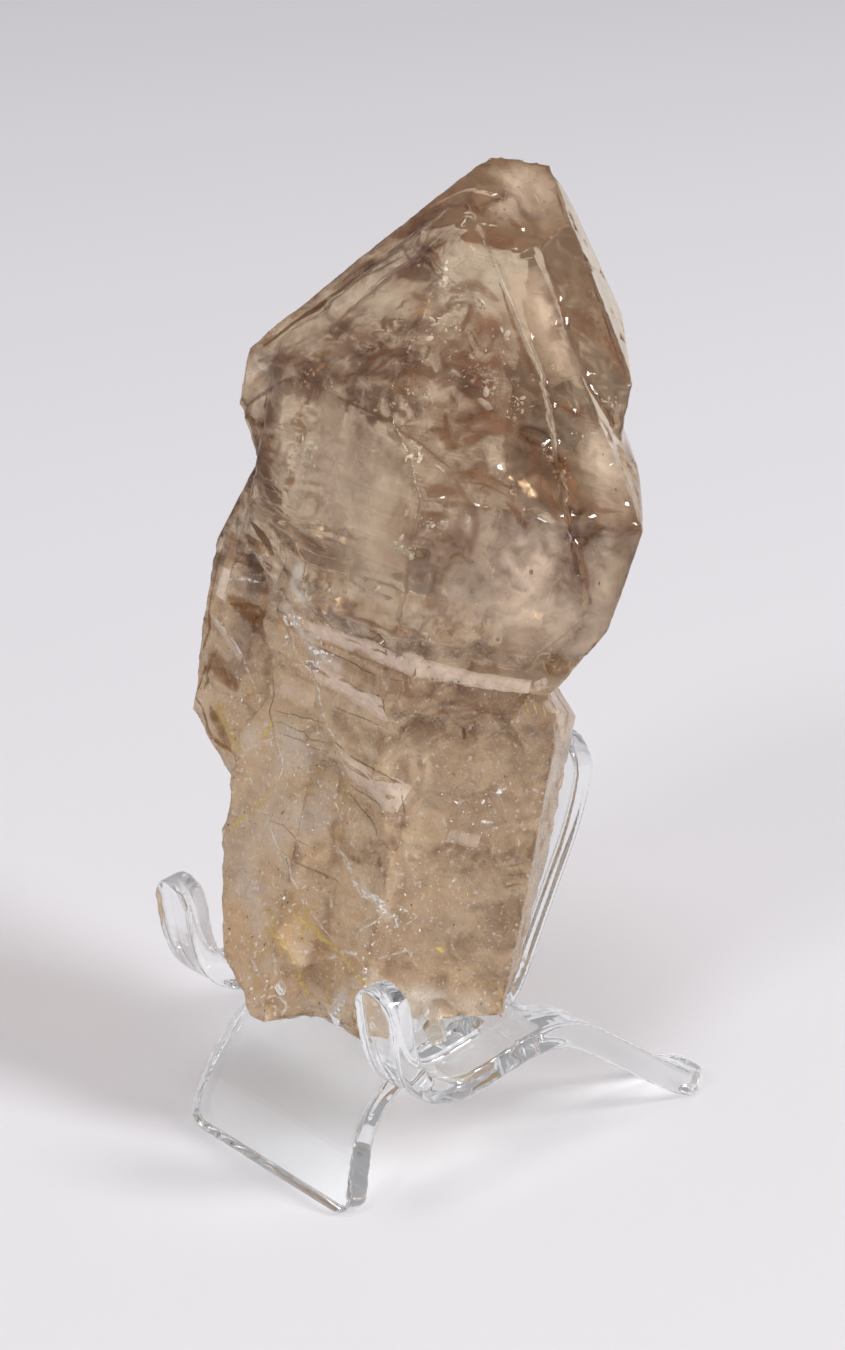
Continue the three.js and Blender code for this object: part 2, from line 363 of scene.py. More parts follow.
def dress(obj: bpy.types.Object, material: bpy.types.Material) -> bpy.types.Object:
    """Gives a finished piece its material and slot, and lets it ride on the root body.

    Args:
        obj: the piece.
        material: its material.

    Returns:
        The piece.
    """
    obj.data.materials.clear()
    obj.data.materials.append(material)
    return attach(obj, "root")


@dataclass
class Skin:
    """Closed skin over a solid: points in mm, outward normals, faces, edges and a search tree once grown."""

    points: np.ndarray
    normals: np.ndarray
    faces: np.ndarray
    edges: np.ndarray
    search: BVHTree | None = None

    @classmethod
    def over_node(cls, node: str, voxel: float) -> "Skin":
        """Wraps a merged copy of a CAD node in an even net of small quads.

        Args:
            node: name of the CAD node.
            voxel: side of the quads in mm.

        Returns:
            The skin, in row frame mm.
        """
        source = frame["nodes"][node]
        bm = bmesh.new()
        bm.from_mesh(source.data)
        bmesh.ops.remove_doubles(bm, verts=bm.verts, dist=1e-6)
        mesh = bpy.data.meshes.new(f"{node}_copy")
        bm.to_mesh(mesh)
        bm.free()
        scratch = bpy.data.objects.new(f"{node}_copy", mesh)
        bpy.context.collection.objects.link(scratch)
        remesh = scratch.modifiers.new("even_net", "REMESH")
        remesh.mode = "VOXEL"
        remesh.voxel_size = voxel * MM
        remesh.adaptivity = 0.0
        bpy.context.view_layer.update()
        net = bpy.data.meshes.new_from_object(scratch.evaluated_get(bpy.context.evaluated_depsgraph_get()))
        skin = cls.from_mesh(net)
        bpy.data.objects.remove(scratch)
        bpy.data.meshes.remove(mesh)
        bpy.data.meshes.remove(net)
        return skin

    @classmethod
    def from_mesh(cls, mesh: bpy.types.Mesh) -> "Skin":
        """Reads a mesh of quads into arrays.

        Args:
            mesh: closed mesh of quads, in metres.

        Returns:
            The skin, in mm.
        """
        points = np.empty(len(mesh.vertices) * 3)
        mesh.vertices.foreach_get("co", points)
        edges = np.empty(len(mesh.edges) * 2, np.int64)
        mesh.edges.foreach_get("vertices", edges)
        corners = np.empty(len(mesh.loops), np.int64)
        mesh.loops.foreach_get("vertex_index", corners)
        skin = cls(points.reshape(-1, 3) / MM, np.empty(0), corners.reshape(-1, 4), edges.reshape(-1, 2))
        skin.find_normals()
        return skin

    def find_normals(self) -> None:
        """Point normals: cross products of the quads' diagonals, summed at the corners, made unit long."""
        a, b, c, d = (self.points[self.faces[:, k]] for k in range(4))
        cross = np.cross(c - a, d - b)
        total = np.zeros_like(self.points)
        for axis in range(3):
            for k in range(4):
                total[:, axis] += np.bincount(self.faces[:, k], cross[:, axis], len(self.points))
        self.normals = total / np.maximum(np.linalg.norm(total, axis=1, keepdims=True), 1e-12)

    def neighbour_mean(self, values: np.ndarray) -> np.ndarray:
        """Mean of a quantity over each point's neighbours along the edges.

        Args:
            values: one row for each point.

        Returns:
            The means, one row for each point.
        """
        values = values.reshape(len(self.points), -1)
        i, j = self.edges.T
        count = np.bincount(i, minlength=len(values)) + np.bincount(j, minlength=len(values))
        mean = np.empty_like(values)
        for axis, column in enumerate(values.T):
            total = np.bincount(i, column[j], len(values)) + np.bincount(j, column[i], len(values))
            mean[:, axis] = total / np.maximum(count, 1)
        return mean

    def relax(self, rounds: int, share: float = 0.5) -> None:
        """Moves each point p to p + share (m - p), m being its neighbours' mean, to round the edges.

        Args:
            rounds: rounds of moving.
            share: share of the way in each round.
        """
        for _ in range(rounds):
            self.points += share * (self.neighbour_mean(self.points) - self.points)
        self.find_normals()

    def sharpness(self, rounds: int = 2) -> np.ndarray:
        """How far each point stands off its neighbours' mean, spread by rounds of averaging.

        Args:
            rounds: rounds of averaging.

        Returns:
            A distance in mm for each point.
        """
        off = np.linalg.norm(self.neighbour_mean(self.points) - self.points, axis=1)
        for _ in range(rounds):
            off = self.neighbour_mean(off)[:, 0]
        return off

    def sink(self, depth: np.ndarray) -> None:
        """Moves each point inwards along its normal by its own depth in mm."""
        self.points -= self.normals * depth[:, None]
        self.find_normals()

    def grow_search(self) -> None:
        """Makes the search tree over the quads as they lie now."""
        self.search = BVHTree.FromPolygons(self.points.tolist(), self.faces.tolist())

    def nearest(self, places: np.ndarray) -> tuple[np.ndarray, np.ndarray]:
        """Nearest place of the skin to each given place, and the outward normal there."""
        hits = [self.search.find_nearest(place)[:2] for place in places.tolist()]
        return np.array([hit[0] for hit in hits]), np.array([hit[1] for hit in hits])

    def keep_under(self, places: np.ndarray, depth: float = 0.3) -> tuple[np.ndarray, np.ndarray]:
        """Moves places that lie outside the skin, or closer under it than a depth, to that depth.

        Args:
            places: n by 3 places in row frame mm.
            depth: least depth in mm.

        Returns:
            The places, and a share that falls to 0 for those that lay more than 1 mm outside.
        """
        hit, normal = self.nearest(places)
        under = np.einsum("ij,ij->i", hit - places, normal)
        kept = np.where((under < depth)[:, None], hit - depth * normal, places)
        return kept, smooth_step(-1.0, depth, under)

    def to_object(self, name: str, attributes: dict[str, np.ndarray] | None = None) -> bpy.types.Object:
        """Makes the mesh object of this skin in the row frame."""
        return mesh_object(name, self.points * MM, self.faces, attributes)


@dataclass(frozen=True)
class CrystalAxes:
    """The crystal's own axes in mm: across to the right, forward of its long axis, along it from the foot."""

    stand_front: float = -0.87
    stand_ground: float = 0.33
    foot: Triple = (0.0, 18.0, 17.0)
    lean: float = math.radians(14.0)

    @cached_property
    def stand(self) -> np.ndarray:
        """Middle of the stand's front at the ground in row frame mm, from the stand's box."""
        low, high = (np.array(corner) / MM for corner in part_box("stand"))
        return np.array([(low[0] + high[0]) / 2.0, low[1] - self.stand_front, -self.stand_ground])

    @property
    def origin(self) -> np.ndarray:
        """Foot of the long axis in row frame mm."""
        return self.stand + np.array(self.foot)

    @property
    def basis(self) -> np.ndarray:
        """Rows are the across, forward and along directions in the row frame."""
        c, s = math.cos(self.lean), math.sin(self.lean)
        return np.array([[1.0, 0.0, 0.0], [0.0, -c, s], [0.0, s, c]])

    def inward(self, points: np.ndarray) -> np.ndarray:
        """Row frame mm to crystal mm."""
        return (points - self.origin) @ self.basis.T

    def outward(self, points: np.ndarray) -> np.ndarray:
        """Crystal mm to row frame mm."""
        return np.asarray(points) @ self.basis + self.origin


@dataclass(frozen=True)
class PhotoView:
    """The photo's camera: frame in pixels, angles of its back, and the eye in mm from the stand's front."""

    width: float = 845.0
    height: float = 1350.0
    azimuth: float = 48.452
    elevation: float = 22.0
    eye: Triple = (234.305, -184.312, 181.508)
    lens: float = 80.0
    film: float = 36.0

    @property
    def ways(self) -> np.ndarray:
        """The camera's own directions, from the azimuth a and the elevation e of its back, which points
        along (sin a cos e, -cos a cos e, sin e).

        Returns:
            Rows are its right, up and back directions in the row frame.
        """
        az, el = math.radians(self.azimuth), math.radians(self.elevation)
        back = np.array([math.sin(az) * math.cos(el), -math.cos(az) * math.cos(el), math.sin(el)])
        right = np.array([math.cos(az), math.sin(az), 0.0])
        return np.array([right, np.cross(back, right), back])

    def eye_place(self, axes: CrystalAxes) -> np.ndarray:
        """The eye in row frame mm."""
        return np.array(self.eye) + axes.stand

    def sight(self, pixel: Place) -> np.ndarray:
        """Direction from the eye through a pixel: (x - W/2) right + (H/2 - y) up - H lens/film back.

        Args:
            pixel: across and down the photo.

        Returns:
            The unit direction in the row frame.
        """
        x, y = pixel
        way = (x - self.width / 2.0, self.height / 2.0 - y, -self.height * self.lens / self.film) @ self.ways
        return way / np.linalg.norm(way)


@dataclass(frozen=True)
class Finder:
    """Turns places picked on the photo into places on a CAD node's flat faces or under them."""

    node: str
    axes: CrystalAxes
    view: PhotoView

    @cached_property
    def corners(self) -> np.ndarray:
        """The corners of the node's faces in row frame mm."""
        return np.array([vertex.co for vertex in frame["nodes"][self.node].data.vertices]) / MM

    @cached_property
    def search(self) -> BVHTree:
        """Search tree over the node's faces."""
        faces = [tuple(face.vertices) for face in frame["nodes"][self.node].data.polygons]
        return BVHTree.FromPolygons(self.corners.tolist(), faces)

    @cached_property
    def eye(self) -> np.ndarray:
        """The camera's eye in row frame mm."""
        return self.view.eye_place(self.axes)

    @cached_property
    def inwards(self) -> np.ndarray:
        """Unit direction from the eye to the middle of the corners."""
        way = self.corners.mean(axis=0) - self.eye
        return way / np.linalg.norm(way)

    def meet(self, pixel: Place) -> tuple[np.ndarray, np.ndarray, np.ndarray]:
        """Finds where the sight line through a pixel meets a face. A line that just misses is swung towards
        the node's middle in small steps until it meets one.

        Args:
            pixel: across and down the photo.

        Returns:
            The place and its outward normal in row frame mm, and the line's unit direction.
        """
        for swing in np.linspace(0.0, 1.0, 251):
            way = (1.0 - swing) * self.view.sight(pixel) + swing * self.inwards
            way /= np.linalg.norm(way)
            hit, normal = self.search.ray_cast(self.eye.tolist(), way.tolist())[:2]
            if hit is not None:
                return np.array(hit), np.array(normal), way
        raise ValueError(f"no place on the crystal for pixel {pixel}")

    def place(self, picked: Place, depth: float = 0.0) -> Place:
        """Crystal mm of a picked pixel, a depth under the face along the sight line as the stone bends it:
        the unit line r becomes r/n + (c/n - sqrt(1 - (1 - c^2)/n^2)) N, with the outward normal N, c = -N r
        and the IOR n.

        Args:
            picked: pixel of the photo; a place in crystal mm stays as it is.
            depth: depth in mm.

        Returns:
            The place in crystal mm.
        """
        if len(picked) == 3:
            return picked
        hit, normal, way = self.meet(picked)
        c = max(-normal @ way, 0.0)
        bend = c / QUARTZ_IOR - math.sqrt(1.0 - (1.0 - c * c) / QUARTZ_IOR**2)
        return tuple(self.axes.inward(hit + depth * (way / QUARTZ_IOR + bend * normal)))

    def path(self, picked: Path, depth: float = 0.0) -> Path:
        """Every place of a path in crystal mm."""
        return tuple(self.place(place, depth) for place in picked)


# Finishes


@dataclass(frozen=True)
class SmokyQuartzFinish:
    """Smoky quartz, a natural glassy stone browned by radiation in the rock: glossy natural faces on the
    head, satin and etched ones on the stem, iron stains near the foot. It is see-through, and its brown
    deepens with the length of the light's path in it."""

    absorb_colour: str = "d5ad69"
    absorb_density: float = 11.0
    through: tuple[float, float] = (0.95, 0.35)
    lamps: str = "aca49c"
    clear: str = "f6e7cc"
    smoke: str = "6a4018"
    satin: str = "e4c090"
    milk: str = "f2e9dc"
    rust: str = "d2b468"
    dirt: str = "4a3522"
    gloss: float = 0.03
    frosted: float = 0.45
    grain: float = 0.9
    speck: float = 0.55
    curdle: float = 3.2

    def material(self) -> bpy.types.Material:
        """Builds the material: frost, crust, smoke, milk and rust come from the mesh's own
        attributes. The smoke attribute also holds painted shade, the milk attribute a painted reflection, and
        the white dots from the pits are painted glints.

        Returns:
            The material.
        """
        material, tree = empty_material("smoky_quartz")
        place = object_mm(tree)
        names = ("frost", "crust", "smoke", "milk", "rust")
        frost, crust, smoke, milk, rust = (attribute(tree, name) for name in names)
        fine = noise(tree, place, self.grain, 5.0, 0.65)
        pits = noise(tree, place, self.speck, 2.0)
        clouds = noise(tree, place, self.curdle, 7.0, 0.62, 0.9)
        satin = product(tree, frost, remap(tree, fine, (0.35, 0.65), (0.5, 1.25)))
        # Painted glints: white dots in the base colour where the pits' noise is high, on the crust, standing
        # in for sparkles of light.
        painted_glints = product(tree, remap(tree, pits, (0.62, 0.68), (0.0, 1.8)), crust)
        specks = product(tree, remap(tree, pits, (0.30, 0.26), (0.0, 1.2)), crust)
        # The smoke attribute carries the smoky colour and also painted shade on edges, under the head's
        # overhang and under the stem's steps.
        smoke_and_shade = product(tree, smoke, remap(tree, clouds, (0.38, 0.62), (0.1, 1.1)))
        # The milk attribute holds milky patches and also a painted reflection on one facet.
        milk_and_reflection = remap(tree, add_share(tree, fine, 0.5, milk), (0.5, 1.0), (0.0, 0.85))
        veins = remap(tree, add_share(tree, fine, 0.6, rust), (0.62, 0.9), (0.0, 0.9))
        colour = linear(self.clear)
        for share, tone in (
            (crust, self.satin), (smoke_and_shade, self.smoke), (milk_and_reflection, self.milk), (veins, self.rust),
            (specks, self.dirt), (painted_glints, self.milk),
        ):
            mix = {"data_type": "RGBA", 0: share, 6: colour, 7: linear(tone)}
            colour = add_node(tree, "ShaderNodeMix", mix).outputs[2]
        cover = greater(tree, greater(tree, crust, milk_and_reflection), veins)
        etch = add_node(tree, "ShaderNodeBump", {"Distance": 0.2 * MM, "Height": fine, "Strength": satin})
        surface = add_node(
            tree, "ShaderNodeBsdfPrincipled",
            {
                "IOR": QUARTZ_IOR, "Specular IOR Level": 0.5, "Base Color": colour,
                "Roughness": remap(tree, satin, (0.0, 1.0), (self.gloss, self.frosted)),
                "Transmission Weight": remap(tree, cover, (0.0, 1.0), self.through),
                "Normal": etch.outputs["Normal"],
            },
        )
        absorb = {"Color": linear(self.absorb_colour), "Density": self.absorb_density}
        inside = add_node(tree, "ShaderNodeVolumeAbsorption", absorb)
        show(tree, surface, self.lamps, inside.outputs["Volume"])
        return material


@dataclass(frozen=True)
class ClearAcrylicFinish:
    """Cast acrylic sheet, cut, flame polished on its edges and bent warm: water clear, with faint rubs."""

    ior: float = 1.49
    tint: str = "fafcfc"
    lamps: str = "cacaca"
    gloss: float = 0.015
    rub: float = 0.12
    haze: float = 2.0

    def material(self) -> bpy.types.Material:
        """Builds the material: clear, with thin rubs in the gloss.

        Returns:
            The material.
        """
        material, tree = empty_material("clear_acrylic")
        rubs = noise(tree, object_mm(tree), self.haze, 6.0, 0.7)
        surface = add_node(
            tree, "ShaderNodeBsdfPrincipled",
            {
                "IOR": self.ior, "Transmission Weight": 1.0, "Base Color": linear(self.tint),
                "Roughness": remap(tree, rubs, (0.55, 0.8), (self.gloss, self.rub)),
            },
        )
        show(tree, surface, self.lamps)
        return material


@dataclass(frozen=True)
class MilkyQuartzFinish:
    """White quartz clouded by tiny bubbles: half see-through, with a waxy gloss on its small broken faces."""

    colour: str = "e6dfd0"
    lamps: str = "b2aba4"
    gloss: float = 0.18
    through: float = 0.75
    grain: float = 0.5

    def material(self) -> bpy.types.Material:
        """Builds the material: cloudy glass with fine bumps.

        Returns:
            The material.
        """
        material, tree = empty_material("milky_quartz")
        fine = noise(tree, object_mm(tree), self.grain, 4.0)
        bumps = add_node(tree, "ShaderNodeBump", {"Distance": 0.1 * MM, "Strength": 0.6, "Height": fine})
        surface = add_node(
            tree, "ShaderNodeBsdfPrincipled",
            {
                "Base Color": linear(self.colour), "Roughness": self.gloss, "IOR": QUARTZ_IOR,
                "Transmission Weight": self.through, "Normal": bumps.outputs["Normal"],
            },
        )
        show(tree, surface, self.lamps)
        return material


class VeilKind(Enum):
    """What a veil in the crystal or on its skin is made of."""

    SMOKE = "smoke"
    CLOT = "clot"
    MILK = "milk"
    EDGE = "edge"
    LINE = "line"
    # painted highlight on the skin
    HIGHLIGHT = "highlight"
    CHALK = "chalk"
    IRON = "iron"


@dataclass(frozen=True)
class VeilFinish:
    """Smoky colour zones, milky films of tiny bubbles, and lines and stains: soft and thin enough to look
    through, or pale and solid, as the stone's own clouds are."""

    kind: VeilKind
    colour: str
    strength: float
    grain: float
    low: float = 0.3
    high: float = 0.6
    least: float = 0.15

    def material(self) -> bpy.types.Material:
        """Builds the material: alpha is the veil's own thickness times fine curdling.

        Returns:
            The material.
        """
        material, tree = empty_material(f"{self.kind.value}_veil")
        curdle = noise(tree, object_mm(tree), self.grain, 6.0, 0.5, 0.8)
        patch = remap(tree, curdle, (self.low, self.high), (self.least, self.strength))
        surface = add_node(
            tree, "ShaderNodeBsdfPrincipled",
            {
                "Base Color": linear(self.colour), "Roughness": 0.9, "Specular IOR Level": 0.0,
                "Alpha": product(tree, attribute(tree, "thickness"), patch),
            },
        )
        show(tree, surface)
        return material


@dataclass(frozen=True)
class FleckFinish:
    """Cracks and bubbles inside the stone that throw the light back, some with a golden skin of iron."""

    white: str = "ffffff"
    gold: str = "d8a24a"

    def material(self) -> bpy.types.Material:
        """Builds the material: white, or golden where the fleck's own attribute says so.

        Returns:
            The material.
        """
        material, tree = empty_material("bright_fleck")
        mix = {"data_type": "RGBA", 0: attribute(tree, "gold"), 6: linear(self.white), 7: linear(self.gold)}
        colour = add_node(tree, "ShaderNodeMix", mix).outputs[2]
        gloss = {"Roughness": 0.25, "Specular IOR Level": 0.9, "Base Color": colour}
        show(tree, add_node(tree, "ShaderNodeBsdfPrincipled", gloss))
        return material


# The crystal

# Outward directions, in crystal axes, of the faces that clouds and bands lie along.
SLOPE_LEFT = (0.0, 0.79, 0.62)
SLOPE_RIGHT = (0.68, 0.39, 0.62)
SIDE_FRONT = (0.0, 1.0, 0.0)
SIDE_RIGHT = (0.87, 0.5, 0.0)
BACK_RIGHT = (0.59, -0.59, 0.55)

# Along the axis in mm: all stem below the first, all head above the second.
HEAD_FOOT = (44.3, 46.5)
# How deep the growth bands lie under the places picked for them, in mm.
BAND_DEPTH = 3.0
# How high the traces lie over the stem's skin, in mm.
HAIR = 0.03


@dataclass(frozen=True)
class Cloud:
    """Rounded curved sheet in the crystal: its middle in crystal mm, the face it lies along, its reach."""

    at: Triple
    faces: Triple
    reach: tuple[float, float]
    roll: float = 0.0
    bow: float = 0.8
    density: float = 1.0

    def placed(self, _: Finder) -> "Cloud":
        """The cloud itself, since its middle is in crystal mm."""
        return self

    def sheet(self, number: int, rings: int = 14, spokes: int = 40) -> Sheet:
        """Disc of rings and spokes: a point is centre + r (a cos t U + b sin t V) + N (bow r^2 + ripple), its
        outline r = 1 drawn in and out by noise, and its density (1 - r^2)^1.2.

        Args:
            number: number of the sheet, which picks its noise.
            rings: rings from the middle to the rim.
            spokes: points round each ring.

        Returns:
            Points in crystal mm, faces and densities.
        """
        normal = np.array(self.faces) / np.linalg.norm(self.faces)
        side, up = across(normal)
        roll = math.radians(self.roll)
        u_axis = math.cos(roll) * side + math.sin(roll) * up
        v_axis = -math.sin(roll) * side + math.cos(roll) * up
        turns = np.linspace(0.0, TURN, spokes, endpoint=False)
        r, t = (values.ravel() for values in np.meshgrid(np.linspace(0.04, 1.0, rings), turns, indexing="ij"))
        rim = np.stack([np.cos(t) * 2.0, np.sin(t) * 2.0, np.full_like(t, number * 7.3)], -1)
        wide = r * (1.0 + 0.28 * lattice_noise(rim, 1.0, 11))
        a, b = self.reach
        flat = np.outer(wide * np.cos(t) * a, u_axis) + np.outer(wide * np.sin(t) * b, v_axis)
        ripple = 0.5 * lattice_noise(flat + number * 31.0, 4.0, 12)
        points = np.array(self.at) + flat + np.outer(self.bow * (r * r - 0.5) + ripple, normal)
        return points, grid_faces(rings, spokes, closed=True), self.density * (1.0 - r * r) ** 1.2


@dataclass(frozen=True)
class Band:
    """Growth band inside the crystal: a ribbon along a path, lying along one of the faces."""

    path: Path
    faces: Triple
    width: float
    density: float = 1.0
    crisp: float = 0.4

    def placed(self, finder: Finder) -> "Band":
        """The band with its picked places turned into places at the bands' depth."""
        return replace(self, path=finder.path(self.path, BAND_DEPTH))

    def sheet(self, number: int, steps: int = 48, strips: int = 9) -> Sheet:
        """Ribbon: a point is P(u) + v w/2 S(u) with v from -1 to 1, where P runs evenly along the smoothed
        path and S is square to it in the face's plane; one edge is crisp, the other fades, and both ends
        taper.

        Args:
            number: number of the sheet, which picks its noise.
            steps: points along the path.
            strips: points across it.

        Returns:
            Points in crystal mm, faces and densities.
        """
        line = even_line(self.path, 10, steps)
        side = np.cross(np.gradient(line, axis=0), np.array(self.faces) / np.linalg.norm(self.faces))
        side /= np.linalg.norm(side, axis=1, keepdims=True)
        v = np.linspace(-1.0, 1.0, strips)
        ends = np.sin(np.pi * np.linspace(0.02, 0.98, steps)) ** 0.6
        half = 0.5 * self.width * (1.0 + 0.35 * lattice_noise(line + number * 17.0, 2.5, 31))
        fade = smooth_step(-1.0, 0.6, v) * smooth_step(1.0, 1.0 - self.crisp, v)
        density = self.density * ends[:, None] * fade[None, :]
        return ribbon(line, side, half, v), grid_faces(steps, strips), density.ravel()


@dataclass(frozen=True)
class Flecks:
    """Cluster of bright flecks just under the skin: the place over its middle, how far it spreads in mm, how
    many, how big, and its gold share."""

    at: Place
    spread: float
    count: int
    size: float = 0.35
    gold: float = 0.0

    def placed(self, finder: Finder) -> "Flecks":
        """The cluster with its picked place turned into one on the skin."""
        return replace(self, at=finder.place(self.at))

    def grains(self, rng: np.random.Generator, skin: Skin, axes: CrystalAxes) -> Sheet:
        """Flat six-sided double pyramids: six rim points at angle t, a (cos t U + 0.6 sin t V), and two tips
        at +-0.25 a N, each turned and sized at random, 0.3 to 1.6 mm under the head's skin and on the stem's.

        Args:
            rng: source of the places, turns and sizes.
            skin: skin of the crystal, in row frame mm.
            axes: the crystal's axes.

        Returns:
            Points in row frame mm, triangles and gold shares.
        """
        n = self.count
        middle, under = skin.nearest(axes.outward(self.at + rng.normal(0.0, self.spread / 1.7, (n, 3))))
        head = smooth_step(*HEAD_FOOT, axes.inward(middle)[:, 2])
        middle -= under * (head * rng.uniform(0.3, 1.6, n))[:, None]
        normal = rng.normal(0.0, 1.0, (n, 3))
        normal /= np.linalg.norm(normal, axis=1, keepdims=True)
        u_axis = np.cross(normal, np.roll(normal, 1, axis=1) + 0.3)
        u_axis /= np.linalg.norm(u_axis, axis=1, keepdims=True)
        v_axis = np.cross(normal, u_axis)
        size = self.size * rng.gamma(3.0, 1.0 / 3.0, n)
        t = np.arange(6) * TURN / 6.0
        wide, high = np.cos(t)[None, :, None], 0.6 * np.sin(t)[None, :, None]
        rim = wide * u_axis[:, None, :] + high * v_axis[:, None, :]
        tips = np.stack([normal, -normal], axis=1) * 0.25
        points = middle[:, None, :] + size[:, None, None] * np.concatenate([rim, tips], axis=1)
        k = np.arange(6)
        top = np.stack([k, (k + 1) % 6, np.full(6, 6)], -1)
        low = np.stack([(k + 1) % 6, k, np.full(6, 7)], -1)
        faces = (np.concatenate([top, low])[None] + 8 * np.arange(n)[:, None, None]).reshape(-1, 3)
        return points.reshape(-1, 3), faces, np.full(8 * n, self.gold)


@dataclass(frozen=True)
class Mark:
    """Frosty mark on the skin along a path: its half width in mm and its strength."""

    path: Path
    width: float
    strength: float = 1.0

    def placed(self, finder: Finder) -> "Mark":
        """The mark with its picked places turned into places on the skin."""
        return replace(self, path=finder.path(self.path))

    def share(self, place: np.ndarray) -> np.ndarray:
        """Strength times exp(-(d/w)^2), d being the distance from the path, drawn in and out by noise."""
        d = near_path(place, self.path) + 0.5 * self.width * lattice_noise(place, 1.6, 41)
        return self.strength * np.exp(-((np.clip(d, 0.0, None) / self.width) ** 2))


@dataclass(frozen=True)
class Trace:
    """Thin mark on the skin or just under it, along a path: its width in mm and its density."""

    path: Path
    width: float
    density: float = 1.0

    def placed(self, finder: Finder) -> "Trace":
        """The trace with its picked places turned into places on the skin."""
        return replace(self, path=finder.path(self.path))

    def line(self, number: int) -> np.ndarray:
        """Even points along the path, drawn to and fro by noise of 0.12 mm.

        Args:
            number: number of the trace, which picks its noise.

        Returns:
            The points in crystal mm.
        """
        line = even_line(self.path, 6)
        drawn = [lattice_noise(line + number * 13.0, 1.3, 61 + k) for k in range(3)]
        return line + 0.12 * np.stack(drawn, -1)


@dataclass(frozen=True)
class TraceSet:
    """Traces of one kind: their finish, their depth in mm under the clear head's skin, whether their ends
    taper, and the share of their density that shows on the stem."""

    name: str
    traces: tuple[Trace, ...]
    finish: VeilFinish
    depth: float = 0.5
    taper: bool = True
    on_stem: float = 1.0

    def placed(self, finder: Finder) -> "TraceSet":
        """The set with every trace's places in crystal mm."""
        return replace(self, traces=tuple(trace.placed(finder) for trace in self.traces))

    def ribbons(self, skin: Skin, axes: CrystalAxes, strips: int = 5) -> Sheet:
        """Ribbons: a point is the skin's nearest place to L(u) + v w/2 S(u), v from -1 to 1, where L is the
        trace and S is square to it along the skin; on the stem it lies a hair above the skin, on the head
        under it.

        Args:
            skin: skin of the crystal, in row frame mm.
            axes: the crystal's axes.
            strips: points across a ribbon.

        Returns:
            Points in row frame mm, faces and densities.
        """
        v = np.linspace(-1.0, 1.0, strips)
        edge = (1.0 - v * v) ** 0.6 if self.taper else np.where(np.abs(v) < 0.99, 1.0, 0.6)
        sheets = []
        for number, trace in enumerate(self.traces):
            line, normal = skin.nearest(axes.outward(trace.line(number)))
            side = np.cross(np.gradient(line, axis=0), normal)
            side /= np.maximum(np.linalg.norm(side, axis=1, keepdims=True), 1e-9)
            ends = np.sin(np.pi * np.linspace(0.03, 0.97, len(line))) ** (0.5 if self.taper else 0.0)
            wobble = 1.0 + (0.35 if self.taper else 0.05) * lattice_noise(line, 1.5, 64)
            place, normal = skin.nearest(ribbon(line, side, 0.5 * trace.width * ends * wobble, v))
            head = smooth_step(*HEAD_FOOT, axes.inward(place)[:, 2])
            points = place + normal * (HAIR - (HAIR + self.depth) * head)[:, None]
            density = trace.density * (self.on_stem + (1.0 - self.on_stem) * head)
            density *= (ends[:, None] ** 0.3 * edge[None, :]).ravel()
            sheets.append((points, grid_faces(len(line), strips), density))
        return join(sheets)


@dataclass(frozen=True)
class Chip:
    """Small milky crystal of the crust round the foot: its middle in crystal mm and its half widths in mm."""

    at: Triple
    size: Triple

    def stone(
        self, rng: np.random.Generator, rows: int = 18, columns: int = 32, facets: int = 11
    ) -> tuple[np.ndarray, list[list[int]]]:
        """Faceted stone: in each direction u of a grid of angles the radius is the least of d / (n u) over
        facets with random normals n and distances d; a ring of triangles closes it at each pole.

        Args:
            rng: source of the facets.
            rows: rings from pole to pole.
            columns: points round a ring.
            facets: how many facets.

        Returns:
            Points in crystal mm and faces.
        """
        normals = rng.normal(0.0, 1.0, (facets, 3))
        normals /= np.linalg.norm(normals, axis=1, keepdims=True)
        far = rng.uniform(0.6, 0.95, facets)
        turns = np.linspace(0.0, TURN, columns, endpoint=False)
        tall, turn = np.meshgrid(np.linspace(0.05, np.pi - 0.05, rows), turns, indexing="ij")
        way = np.stack([np.sin(tall) * np.cos(turn), np.sin(tall) * np.sin(turn), np.cos(tall)], -1)
        way = np.concatenate([way.reshape(-1, 3), [[0.0, 0.0, 1.0], [0.0, 0.0, -1.0]]])
        reach = np.min(far / np.clip(way @ normals.T, 0.05, None), axis=1)
        points = np.array(self.at) + way * np.minimum(reach, 1.5)[:, None] * np.array(self.size)
        c = np.arange(columns)
        beside = (c + 1) % columns
        north, last = rows * columns, (rows - 1) * columns
        top = np.stack([c, beside, np.full(columns, north)], -1)
        low = np.stack([last + beside, last + c, np.full(columns, north + 1)], -1)
        quads = grid_faces(rows, columns, closed=True)[:, ::-1]
        return points, [*quads.tolist(), *top.tolist(), *low.tolist()]
